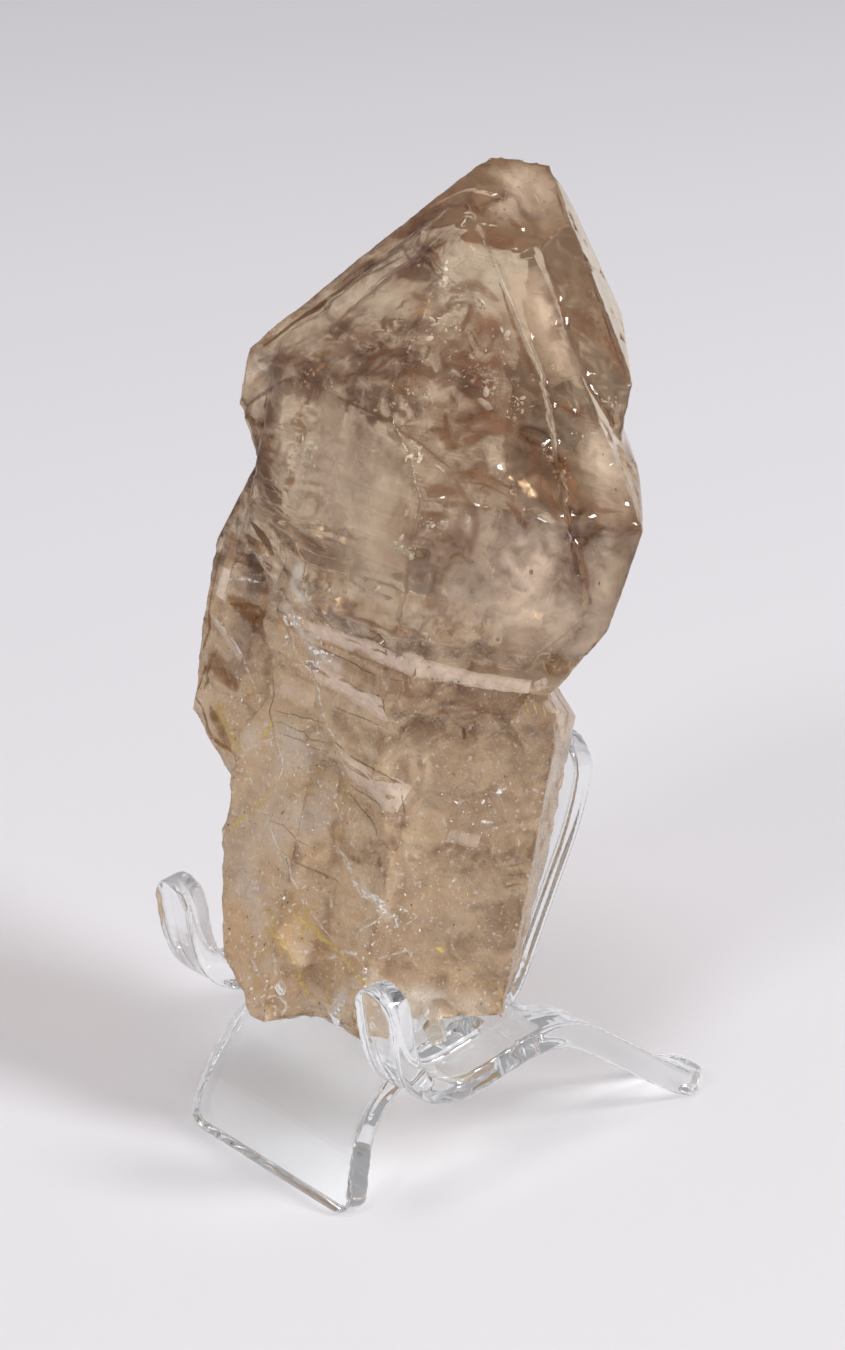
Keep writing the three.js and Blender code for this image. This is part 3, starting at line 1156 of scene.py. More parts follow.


# The marks. Traces, bands, flecks and frosty marks lie where pixels picked on the photo meet the
# stone. A few of them, and all clouds and chips, are placed in crystal mm.

# Edges of smoky growth zones on the head, the left growth and the stem.
BROWN_TRACES = (
    Trace(((248, 522), (262, 540), (270, 556)), 1.1, 2.4),
    Trace(((228, 604), (250, 606), (266, 612)), 0.8, 2.4),
    Trace(((200, 690), (205, 670), (214, 650)), 1.0, 2.4),
    Trace(((275, 560), (295, 585), (300, 600)), 0.8, 1.0),
    Trace(((262, 345), (300, 316), (335, 290), (370, 264)), 1.1, 1.8),
    Trace(((370, 264), (430, 219), (478, 187)), 0.5, 0.7),
    Trace(((559, 182), (561, 195), (566, 212)), 0.6, 0.9),
    Trace(((259, 440), (262, 470), (270, 500)), 1.6, 0.7),
    Trace(((335, 284), (365, 264), (398, 248)), 1.3, 1.0),
    Trace(((350, 281), (375, 268), (402, 254)), 0.8, 0.8),
    Trace(((410, 243), (424, 258), (438, 274)), 0.5, 0.8),
    Trace(((416, 240), (430, 254), (444, 274)), 0.3, 0.7),
    Trace(((403, 248), (409, 262), (412, 276)), 0.3, 0.7),
    Trace(((411, 220), (438, 204), (458, 202), (485, 210), (512, 219), (526, 230)), 1.6, 1.4),
    Trace(((526, 228), (520, 240), (492, 244), (465, 238)), 1.4, 0.9),
    Trace(((395, 232), (425, 216), (455, 198)), 1.3, 0.8),
    Trace(((322, 310), (345, 327), (382, 344)), 1.3, 0.8),
    Trace(((363, 375), (391, 354), (410, 350)), 1.0, 1.0),
    Trace(((382, 366), (399, 388), (418, 396)), 1.4, 0.8), Trace(((388, 316), (391, 328)), 0.9, 0.9),
    Trace(((376, 338), (380, 348)), 1.0, 0.9),
    Trace(((242, 407), (262, 392), (285, 380), (302, 379)), 0.9, 0.9),
    Trace(((256, 360), (291, 357), (325, 367), (342, 382)), 1.4, 0.7),
    Trace(((334, 396), (362, 409), (392, 423), (432, 450), (452, 467)), 0.6, 0.9),
    Trace(((432, 426), (458, 440), (490, 430)), 2.5, 1.0),
    Trace(((478, 430), (510, 424), (540, 446)), 2.5, 1.0), Trace(((446, 410), (452, 440)), 1.1, 0.9),
    Trace(((458, 470), (492, 474), (525, 493)), 0.7, 0.8),
    Trace(((462, 478), (490, 484), (512, 496)), 0.5, 0.7),
    Trace(((455, 476), (471, 500), (478, 527), (470, 560)), 1.0, 0.5),
    Trace(((533, 440), (545, 480), (560, 515)), 1.5, 1.0),
    Trace(((556, 505), (577, 535), (585, 572), (592, 606)), 1.3, 1.0),
    Trace(((551, 453), (565, 488), (580, 504)), 0.9, 0.9),
    Trace(((571, 500), (576, 525), (570, 545)), 1.0, 0.8),
    Trace(((508, 500), (524, 526), (540, 534)), 1.3, 0.9),
    Trace(((558, 403), (572, 408), (586, 416)), 0.7, 0.9),
    Trace(((588, 524), (615, 531), (643, 535)), 1.0, 0.8), Trace(((560, 188), (566, 210)), 0.6, 0.9),
    Trace(((598, 300), (612, 335), (627, 372)), 2.1, 0.9),
    Trace(((501, 280), (515, 320), (526, 350), (540, 385), (549, 420)), 0.8, 0.9),
    Trace(((554, 272), (563, 303), (578, 347), (592, 380)), 0.5, 0.8),
    Trace(((570, 215), (585, 260), (600, 300)), 1.4, 0.4),
    Trace(((265, 522), (291, 549), (325, 570)), 1.3, 0.8),
    Trace(((272, 515), (305, 538), (330, 556)), 0.5, 0.8), Trace(((246, 425), (262, 500)), 1.7, 0.8),
    Trace(((262, 432), (285, 470)), 1.6, 0.5), Trace(((478, 310), (482, 340)), 1.6, 0.7),
    Trace(((450, 290), (478, 283), (500, 300)), 1.8, 0.7), Trace(((410, 290), (425, 300)), 1.1, 0.6),
    Trace(((458, 330), (470, 352)), 1.8, 0.6),
    Trace(((219, 548), (207, 612), (209, 630), (192, 694)), 0.6, 2.6),
    Trace(((192, 697), (206, 735), (228, 770)), 0.7, 2.2),
    Trace(((226, 598), (245, 610), (264, 640)), 3.0, 2.2),
    Trace(((206, 655), (220, 672), (236, 690)), 2.5, 2.2),
    Trace(((204, 706), (216, 728), (228, 748)), 1.8, 2.0), Trace(((244, 560), (262, 572)), 1.6, 1.3),
    Trace(((326, 655), (362, 672), (412, 690)), 2.1, 0.8),
    Trace(((330, 712), (346, 730), (360, 748)), 2.5, 0.8), Trace(((360, 742), (385, 732)), 2.1, 0.6),
    Trace(((352, 796), (378, 824), (398, 852)), 2.5, 0.8), Trace(((384, 800), (404, 822)), 1.1, 0.4),
    Trace(((385, 692), (440, 700), (500, 712), (524, 714)), 1.0, 0.7),
    Trace(((416, 677), (402, 692), (386, 718)), 0.3, 0.7),
    Trace(((404, 820), (399, 842), (395, 860)), 0.3, 0.8),
    Trace(((398, 748), (402, 730), (438, 714), (476, 710), (504, 717), (522, 748)), 0.5, 0.8),
    Trace(((396, 752), (410, 735), (440, 722), (470, 720)), 0.3, 0.5),
    Trace(((387, 725), (417, 717), (454, 709)), 0.3, 0.6),
    Trace(((406, 790), (470, 800), (520, 770)), 0.7, 0.4),
    Trace(((520, 698), (540, 720), (556, 755)), 1.4, 0.6), Trace(((508, 862), (526, 880)), 0.9, 0.4),
    Trace(((500, 900), (505, 935)), 1.6, 0.4),
)

# Fine dark growth lines and cracks.
DARK_LINES = (
    Trace(((562, 185), (575, 215), (590, 260), (605, 310), (618, 350), (628, 376)), 0.5, 0.9),
    Trace(((238, 530), (233, 560), (222, 600)), 0.2, 0.9), Trace(((228, 545), (220, 580)), 0.2, 0.8),
    Trace(((262, 500), (285, 560), (275, 610), (285, 640)), 0.2, 0.6),
    Trace(((344, 790), (372, 822), (394, 858)), 0.2, 0.8), Trace(((330, 740), (340, 752)), 0.2, 0.8),
    Trace(((383, 716), (384, 700)), 0.2, 0.7), Trace(((414, 662), (412, 684)), 0.2, 0.7),
    Trace(((402, 788), (404, 818)), 0.2, 0.7), Trace(((305, 640), (320, 662)), 0.2, 0.6),
    Trace(((271, 708), (300, 716), (323, 725)), 0.2, 0.7),
    Trace(((271, 722), (300, 732), (328, 742)), 0.2, 0.7),
    Trace(((273, 733), (300, 742), (324, 751)), 0.2, 0.6),
    Trace(((284, 855), (315, 872), (343, 888)), 0.3, 0.5), Trace(((276, 846), (283, 870)), 0.2, 0.8),
    Trace(((256, 815), (285, 830), (310, 848)), 0.2, 0.5),
    Trace(((270, 668), (270, 702), (269, 740)), 0.2, 0.8), Trace(((503, 868), (526, 864)), 0.2, 0.5),
    Trace(((503, 878), (526, 874)), 0.2, 0.5), Trace(((503, 888), (522, 885)), 0.2, 0.5),
    Trace(((339, 751), (372, 768), (406, 787)), 0.2, 0.8),
    Trace(((345, 783), (375, 802), (403, 818)), 0.2, 0.7),
    Trace(((302, 640), (350, 662), (412, 684)), 0.2, 0.7),
    Trace(((330, 706), (358, 717), (381, 727)), 0.2, 0.7),
    Trace(((464, 728), (468, 736), (464, 740)), 0.5, 0.9), Trace(((497, 638), (500, 643)), 0.7, 0.8),
    Trace(((460, 650), (463, 653)), 0.5, 0.8),
)

# Painted highlights: pale sheets on the steps of the stem, where they face the light from above, and on
# facets of the head.
PAINTED_STEP_HIGHLIGHTS = (
    Trace(((231, 540), (226, 570), (218, 598)), 1.7, 1.2),
    Trace(((213, 618), (226, 640), (240, 660)), 0.8, 0.6),
    Trace(((258, 545), (285, 570), (292, 600)), 0.9, 0.5),
    Trace(((519, 272), (540, 325), (563, 380)), 4.3, 0.35),
    Trace(((574, 206), (592, 246), (610, 290), (626, 335)), 1.4, 1.0),
    Trace(((13.7, -5.1, 72.7), (17, -4.6, 67.8), (21.3, -2.5, 63)), 1.5, 0.7),
    Trace(((305, 627), (330, 637), (360, 648), (390, 659), (415, 668)), 2.9, 1.0),
    Trace(((12.9, 17.9, 41.2), (16.1, 12.7, 40.9), (18.8, 8, 40.7)), 1.8, 0.65),
    Trace(((416, 668), (470, 681), (530, 690)), 2.0, 0.75),
    Trace(((305, 668), (330, 683), (355, 697), (382, 712)), 3.4, 1.05),
    Trace(((340, 767), (365, 780), (385, 791), (405, 801)), 3.8, 0.95),
    Trace(((279, 687), (312, 702)), 1.7, 0.5), Trace(((258, 816), (308, 846)), 2.3, 0.4),
    Trace(((448, 838), (480, 842)), 1.6, 0.5), Trace(((540, 680), (552, 706), (566, 735)), 1.5, 0.6),
)

# Healed cracks and frosted seams that look white.
CHALK_TRACES = (
    Trace(((240, 556), (236, 566)), 0.5, 0.9), Trace(((246, 575), (262, 568)), 0.3, 0.8),
    Trace(((262, 430), (275, 450)), 0.2, 0.5),
    Trace(((270, 520), (284, 545), (300, 575), (300, 600)), 0.3, 0.5),
    Trace(((276, 614), (291, 647), (306, 670), (317, 699), (326, 733), (339, 755), (345, 790)), 0.5, 0.8),
    Trace(((256, 796), (265, 829), (287, 873), (302, 896), (321, 929), (339, 951)), 0.3, 0.8),
    Trace(((317, 777), (328, 799), (347, 836), (358, 855)), 0.3, 0.8),
    Trace(((339, 852), (347, 864), (350, 874)), 0.9, 0.9),
    Trace(((350, 880), (362, 894), (380, 902), (402, 930)), 1.3, 1.0),
    Trace(((354, 933), (372, 922), (390, 914)), 0.3, 0.8),
    Trace(((325, 960), (345, 950), (360, 962)), 0.7, 0.7),
    Trace(((271, 740), (280, 762), (273, 785)), 0.3, 0.8), Trace(((280, 765), (300, 768)), 0.2, 0.6),
    Trace(((230, 760), (252, 745), (275, 735)), 0.3, 0.6),
    Trace(((252, 1005), (262, 995), (282, 999), (286, 1012), (268, 1019), (255, 1010)), 0.5, 0.8),
    Trace(((236, 950), (250, 962), (262, 985)), 0.3, 0.6), Trace(((476, 822), (495, 823)), 0.5, 0.9),
    Trace(((425, 905), (440, 930)), 0.2, 0.5),
    Trace(((207, 611), (228, 636), (243, 659), (256, 690)), 0.5, 0.7),
    Trace(((217, 581), (240, 578), (268, 583)), 0.5, 0.8),
    Trace(((380, 960), (410, 950), (420, 975)), 0.6, 0.5),
    Trace(((395, 905), (420, 918), (402, 928)), 0.2, 0.6), Trace(((404, 660), (427, 638)), 0.3, 0.5),
    Trace(((465, 190), (492, 190), (514, 200), (520, 212)), 0.3, 0.9),
    Trace(((470, 243), (482, 255), (492, 263)), 0.8, 0.9),
    Trace(((492, 263), (512, 257), (535, 256)), 0.3, 0.8),
    Trace(((462, 214), (480, 222), (500, 224)), 0.5, 0.7),
    Trace(((252, 473), (275, 484), (302, 497)), 0.2, 0.8),
    Trace(((268, 516), (295, 527), (322, 537)), 0.2, 0.8), Trace(((260, 487), (282, 496)), 0.2, 0.6),
    Trace(((536, 190), (545, 208)), 0.3, 0.9), Trace(((535, 560), (527, 590), (518, 620)), 1.0, 0.35),
    Trace(((595, 384), (621, 440), (643, 527)), 0.3, 0.9),
    Trace(((330, 288), (372, 260), (400, 244)), 0.3, 0.6), Trace(((410, 436), (425, 448)), 1.0, 0.8),
    Trace(((430, 458), (450, 472)), 0.6, 0.6), Trace(((388, 544), (400, 548), (412, 558)), 1.1, 0.9),
    Trace(((500, 192), (510, 205)), 0.2, 0.7), Trace(((290, 455), (300, 448), (310, 462)), 1.4, 0.6),
)

# Yellow veins and dots of iron on the lump and the foot.
IRON_TRACES = (
    Trace(((240, 545), (256, 556), (262, 552)), 0.6, 0.9),
    Trace(((318, 668), (328, 690), (336, 700)), 0.2, 0.6),
    Trace(((262, 655), (284, 665), (300, 690)), 0.2, 0.6), Trace(((240, 690), (262, 700)), 0.3, 0.4),
    Trace(((330, 790), (345, 800), (360, 815)), 0.2, 0.4),
    Trace(((260, 927), (278, 938), (291, 955), (299, 973), (308, 994), (320, 1014)), 0.6, 1.0),
    Trace(((258, 930), (272, 934), (284, 946)), 0.8, 0.6),
    Trace(((293, 914), (308, 922), (319, 938), (336, 951), (347, 966), (362, 985), (366, 994)), 0.6, 0.9),
    Trace(((308, 923), (322, 940), (336, 953)), 1.0, 0.5),
    Trace(((269, 721), (260, 733), (256, 742)), 0.8, 0.9), Trace(((228, 744), (238, 752)), 0.9, 0.9),
    Trace(((227, 826), (235, 821), (245, 815)), 0.7, 0.9),
    Trace(((280, 773), (271, 786), (254, 807), (240, 818)), 0.3, 0.7),
    Trace(((252, 800), (262, 808)), 0.7, 0.6), Trace(((436, 948), (445, 953)), 0.8, 1.0),
    Trace(((358, 976), (368, 990)), 0.7, 0.8), Trace(((318, 995), (326, 1010)), 0.7, 0.7),
    Trace(((526, 700), (530, 715)), 0.3, 0.8), Trace(((534, 702), (537, 716)), 0.3, 0.8),
    Trace(((543, 706), (546, 718)), 0.3, 0.7), Trace(((245, 552), (256, 553)), 0.8, 0.9),
    Trace(((262, 690), (275, 660)), 0.3, 0.4), Trace(((300, 760), (318, 790)), 0.3, 0.4),
)

# Small crystals in the broken foot.
CHIPS = (
    Chip((3.2, 10.6, 0.2), (1.9, 0.9, 2.4)), Chip((10.4, 6.6, 2.6), (2.2, 1.4, 2.2)),
    Chip((12.0, 3.8, 0.4), (2.0, 1.2, 1.6)), Chip((5.6, 10.6, 3.6), (1.5, 0.8, 1.3)),
    Chip((-2.4, 14.9, 1.2), (1.0, 0.6, 0.9)), Chip((8.3, 9.6, 0.0), (1.2, 1.0, 1.3)),
)

# Brown growth zones inside the stone.
SMOKE_ZONES = (
    Band(((430, 235), (452, 215), (480, 205), (510, 212), (527, 228)), SLOPE_RIGHT, 3.5),
    Band(((465, 245), (490, 238), (512, 245)), SLOPE_RIGHT, 2.9, 0.9),
    Band(((335, 292), (365, 270), (400, 252)), SLOPE_LEFT, 3.0),
    Band(((405, 245), (415, 262)), SLOPE_LEFT, 1.8), Band(((412, 240), (428, 262)), SLOPE_LEFT, 1.4),
    Band(((420, 242), (445, 268)), SLOPE_LEFT, 1.4),
    Band(((362, 373), (382, 355), (402, 350)), SLOPE_LEFT, 2.9),
    Band(((378, 362), (398, 385), (420, 395)), SLOPE_LEFT, 2.9),
    Band(((262, 345), (310, 308), (370, 262), (430, 218), (480, 185)), SLOPE_LEFT, 4.2, 0.7),
    Band(((325, 312), (350, 330), (385, 352)), SLOPE_LEFT, 2.9, 0.6),
    Band(((443, 440), (475, 428), (515, 432)), SLOPE_RIGHT, 7.0),
    Band(((448, 478), (475, 478), (505, 492)), SLOPE_RIGHT, 2.1),
    Band(((536, 440), (545, 480), (560, 525), (578, 562), (590, 612)), SIDE_RIGHT, 3.5),
    Band(((560, 450), (568, 490), (582, 505)), SIDE_RIGHT, 2.9),
    Band(((503, 500), (520, 525), (535, 540)), SIDE_RIGHT, 2.7, 0.9),
    Band(((420, 485), (455, 495), (475, 520), (470, 550)), SIDE_RIGHT, 2.1, 0.7),
    Band(((535, 430), (528, 460), (540, 500)), SIDE_RIGHT, 1.9, 0.8),
    Band(((555, 405), (583, 415)), SLOPE_RIGHT, 1.6),
    Band(((580, 320), (605, 345), (628, 378)), SLOPE_RIGHT, 5.1, 0.8),
    Band(((243, 410), (260, 380), (300, 365), (345, 385)), SIDE_FRONT, 3.8, 0.9),
    Band(((256, 449), (262, 480), (275, 510)), SIDE_FRONT, 3.8, 0.9),
    Band(((275, 520), (320, 560), (345, 580)), SIDE_FRONT, 2.9, 0.7),
    Band(((590, 515), (640, 530)), SIDE_RIGHT, 3.0, 0.9),
    # The last six bands lie on the stem between its steps: partly smoky colour, partly painted shade under
    # the ledges.
    Band(((392, 760), (400, 735), (430, 715), (470, 708), (520, 722)), SIDE_RIGHT, 1.6, 0.7),
    Band(((330, 660), (360, 680), (400, 672)), SIDE_FRONT, 5.1, 0.55),
    Band(((420, 670), (470, 700)), SIDE_RIGHT, 3.2, 0.4),
    Band(((520, 700), (556, 722)), SIDE_RIGHT, 5.1, 0.5),
    Band(((330, 735), (350, 720)), SIDE_FRONT, 4.8, 0.7),
    Band(((490, 760), (520, 745)), SIDE_RIGHT, 3.5, 0.7),
    Cloud((11.0, 18.0, 53.5), SIDE_FRONT, (7.0, 5.5), density=0.45),
    Cloud((14.0, 14.5, 54.5), SIDE_RIGHT, (5.0, 6.0), density=0.45),
    Cloud((-5.3, 9.8, 80.4), SLOPE_LEFT, (4.5, 3.0), density=0.7),
    Cloud((1.5, 12.2, 76.0), SLOPE_LEFT, (5.5, 4.0), density=0.7),
    Cloud((3.4, 6.8, 78.0), SLOPE_RIGHT, (3.4, 5.0), density=0.8),
    Cloud((7.5, 8.9, 70.5), SLOPE_RIGHT, (4.0, 4.0), density=0.6),
    Cloud((1.0, 16.0, 64.0), SIDE_FRONT, (10.0, 3.0), density=0.5),
    Cloud((-17.0, 16.0, 66.0), SIDE_FRONT, (3.5, 6.0), roll=10, density=0.8),
    Cloud((-19.0, 12.0, 56.0), SIDE_FRONT, (5.0, 8.0), density=0.9),
    Cloud((-20.0, 10.0, 38.0), SIDE_FRONT, (5.0, 9.0), density=0.9),
    Cloud((6.0, 12.0, 58.0), SIDE_RIGHT, (6.0, 7.0), density=0.6),
    Cloud((-6.0, 14.0, 70.0), SIDE_FRONT, (9.0, 5.0), density=0.6),
)

# Curdled brown clouds inside the stone.
CLOTS = (
    Cloud((3.0, 9.0, 74.5), SLOPE_RIGHT, (7.0, 9.0), density=0.9),
    Cloud((-3.0, 14.0, 72.5), SLOPE_LEFT, (8.5, 5.0), density=0.9),
    Cloud((-7.0, 8.0, 82.0), SLOPE_LEFT, (7.0, 4.5), density=0.9),
    Cloud((-17.5, 17.0, 62.0), SIDE_FRONT, (4.5, 9.0), density=1.0),
    Cloud((9.0, 12.0, 64.5), SIDE_RIGHT, (6.0, 5.0), density=0.8),
    Cloud((17.5, 4.0, 57.0), SIDE_RIGHT, (3.5, 7.5), roll=12, density=0.9),
    Cloud((5.0, -3.0, 80.0), SLOPE_RIGHT, (4.0, 7.0), density=0.7),
    Cloud((2.0, 15.0, 44.0), SIDE_FRONT, (9.0, 4.0), density=0.5),
    Cloud((-19.5, 13.0, 44.0), SIDE_FRONT, (4.0, 11.0), density=0.9),
    Cloud((1.5, 10.5, 78.5), SLOPE_LEFT, (6.0, 5.0), density=1.0),
    Cloud((6.5, 10.0, 73.5), SLOPE_RIGHT, (4.5, 7.0), density=1.0),
    Cloud((-9.0, 15.0, 74.0), SLOPE_LEFT, (7.0, 4.0), density=0.8),
    Cloud((1.0, 17.5, 68.0), SIDE_FRONT, (8.0, 4.0), density=0.9),
    Cloud((-12.0, 17.5, 69.0), SIDE_FRONT, (8.0, 3.0), density=0.9),
    Cloud((14.0, 8.0, 58.0), SIDE_RIGHT, (4.0, 8.0), roll=10, density=0.8),
)

# Milky growth lines across the head's front face, one under another, looping a little to the left.
MILKY_LINES = tuple(
    Band(
        (
            (-17.0, 18.9, 60.0 - 1.5 * k), (-11.0, 19.0, 57.2 - 1.6 * k),
            (-3.0, 19.0, 55.6 - 1.5 * k), (4.0, 19.0, 56.2 - 1.4 * k),
        ),
        SIDE_FRONT, 0.55, 0.8, 0.2,
    )
    for k in range(5)
)

# Milky films inside the stone.
MILKY_ZONES = (
    *MILKY_LINES,
    Cloud((-1.9, 18.9, 60.9), SIDE_FRONT, (9.0, 6.0), density=0.8),
    Cloud((-5.5, -2.0, 93.0), SLOPE_RIGHT, (4.0, 4.0), density=0.9),
    Cloud((-3.5, -4.5, 92.0), SLOPE_RIGHT, (4.5, 4.5), density=0.45),
    Cloud((18.6, 9.4, 55.0), SIDE_RIGHT, (6.0, 7.5), density=1.6),
    Cloud((16.2, -0.6, 67.5), SLOPE_RIGHT, (3.2, 5.0), density=1.1),
    Cloud((20.9, 1.2, 54.5), SIDE_RIGHT, (3.0, 7.0), density=1.2),
    Cloud((19.0, 8.0, 50.5), SIDE_RIGHT, (6.0, 4.0)),
    Cloud((16.5, 11.5, 59.0), SIDE_RIGHT, (4.5, 5.0), density=0.8),
    Cloud((21.2, 3.0, 49.5), SIDE_RIGHT, (5.0, 4.0)),
    Cloud((15.0, 14.0, 52.0), SIDE_RIGHT, (4.5, 5.0), density=0.8),
    Cloud((18.5, -1.0, 64.0), SLOPE_RIGHT, (4.0, 5.0), density=0.9),
    Cloud((-1.5, 20.0, 58.5), SIDE_FRONT, (10.0, 8.0), density=0.8),
    Cloud((-4.0, 1.0, 90.5), SLOPE_RIGHT, (3.0, 2.5), density=0.8),
    Cloud((17.4, 7.0, 50.9), SIDE_RIGHT, (5.0, 6.5), density=0.8),
    Cloud((5.0, 18.5, 51.0), SIDE_FRONT, (6.0, 5.0), density=0.5),
    Band(((350, 415), (400, 440), (445, 470)), SLOPE_LEFT, 1.2),
    Band(((262, 520), (300, 540), (330, 555)), SIDE_FRONT, 0.5),
    Band(((262, 500), (310, 520)), SIDE_FRONT, 0.5), Band(((575, 555), (580, 600)), SIDE_RIGHT, 1.1),
    Band(((-12.0, 4.0, 88.5), (-9.5, 1.1, 90.8), (-6.1, -1.9, 90.8)), SLOPE_RIGHT, 0.6),
    Band(((-0.6, 0.4, 84.2), (3.5, 0.3, 79.5), (8.8, 0.4, 73.5)), SLOPE_RIGHT, 5.6, 1.5, 0.08),
)

# Frosted seams and chips on the skin.
FROSTY_MARKS = (
    Mark(((338, 850), (355, 875), (375, 905), (395, 925)), 0.9, 0.6),
    Mark(((285, 610), (300, 635), (320, 660), (335, 665)), 1.3, 0.8),
    Mark(((298, 570), (290, 590), (300, 600)), 1.1, 0.7), Mark(((335, 1000), (344, 1031)), 2.0, 0.8),
    Mark(((365, 985), (380, 985)), 1.6, 0.8),
    Mark(((10.8, 7.0, 2.9), (12.2, 4.6, 3.8), (12.5, 4.0, 0.0)), 2.2, 0.8),
)

# Bright flecks under the head's skin and on that of the stem.
FLECK_CLUSTERS = (
    Flecks((451, 279), 0.9, 20, 0.35), Flecks((438, 318), 0.7, 10, 0.33), Flecks((437, 332), 0.7, 8, 0.28),
    Flecks((482, 302), 0.8, 10, 0.25), Flecks((478, 326), 1.0, 14, 0.28, 0.8),
    Flecks((424, 305), 1.1, 16, 0.30, 0.9), Flecks((508, 331), 0.5, 6, 0.30),
    Flecks((505, 348), 0.3, 4, 0.20), Flecks((488, 385), 1.1, 26, 0.25), Flecks((484, 402), 0.3, 4, 0.40),
    Flecks((521, 402), 1.0, 20, 0.22), Flecks((514, 418), 0.7, 10, 0.20, 0.4),
    Flecks((318, 365), 0.6, 8, 0.28, 0.9), Flecks((417, 451), 0.8, 10, 0.35),
    Flecks((418, 470), 0.3, 4, 0.30), Flecks((430, 524), 0.5, 12, 0.30), Flecks((444, 525), 0.5, 12, 0.30),
    Flecks((465, 518), 0.5, 6, 0.40), Flecks((395, 545), 0.8, 8, 0.40), Flecks((408, 556), 0.7, 8, 0.35),
    Flecks((546, 522), 0.6, 7, 0.60), Flecks((300, 456), 1.6, 30, 0.28), Flecks((302, 588), 1.0, 30, 0.32),
    Flecks((320, 588), 0.3, 4, 0.30), Flecks((326, 594), 0.5, 5, 0.25), Flecks((316, 655), 1.6, 40, 0.28),
    Flecks((292, 620), 1.0, 22, 0.25), Flecks((284, 640), 0.7, 10, 0.22), Flecks((560, 365), 0.6, 8, 0.25),
    Flecks((582, 434), 0.7, 8, 0.22), Flecks((597, 430), 0.3, 3, 0.25), Flecks((555, 445), 1.1, 14, 0.18),
    Flecks((568, 470), 0.9, 12, 0.20, 0.5), Flecks((613, 405), 0.9, 10, 0.20),
    Flecks((535, 375), 0.5, 5, 0.20, 0.3), Flecks((265, 553), 1.4, 14, 0.22, 0.4),
    Flecks((258, 556), 0.7, 6, 0.25), Flecks((415, 395), 1.8, 20, 0.16, 0.2),
    Flecks((450, 345), 3.4, 46, 0.12, 0.2), Flecks((480, 360), 2.8, 46, 0.12, 0.1),
    Flecks((505, 390), 2.1, 30, 0.13, 0.3), Flecks((440, 300), 2.8, 40, 0.12, 0.5),
    Flecks((300, 380), 2.3, 24, 0.13, 0.5), Flecks((327, 388), 0.9, 10, 0.20),
    Flecks((372, 590), 0.2, 3, 0.30), Flecks((427, 640), 0.5, 6, 0.30),
    Flecks((470, 820), 3.4, 50, 0.12, 0.2), Flecks((505, 790), 1.1, 14, 0.22),
    Flecks((430, 900), 4.6, 60, 0.12, 0.3), Flecks((380, 925), 3.4, 50, 0.14, 0.2),
    Flecks((300, 790), 4.6, 60, 0.12, 0.3), Flecks((270, 900), 4.6, 50, 0.12, 0.3),
    Flecks((490, 700), 2.9, 20, 0.12, 0.3), Flecks((360, 970), 2.3, 30, 0.16, 0.2),
    Flecks((240, 700), 2.3, 24, 0.14, 0.3), Flecks((250, 960), 3.4, 30, 0.13, 0.2),
)


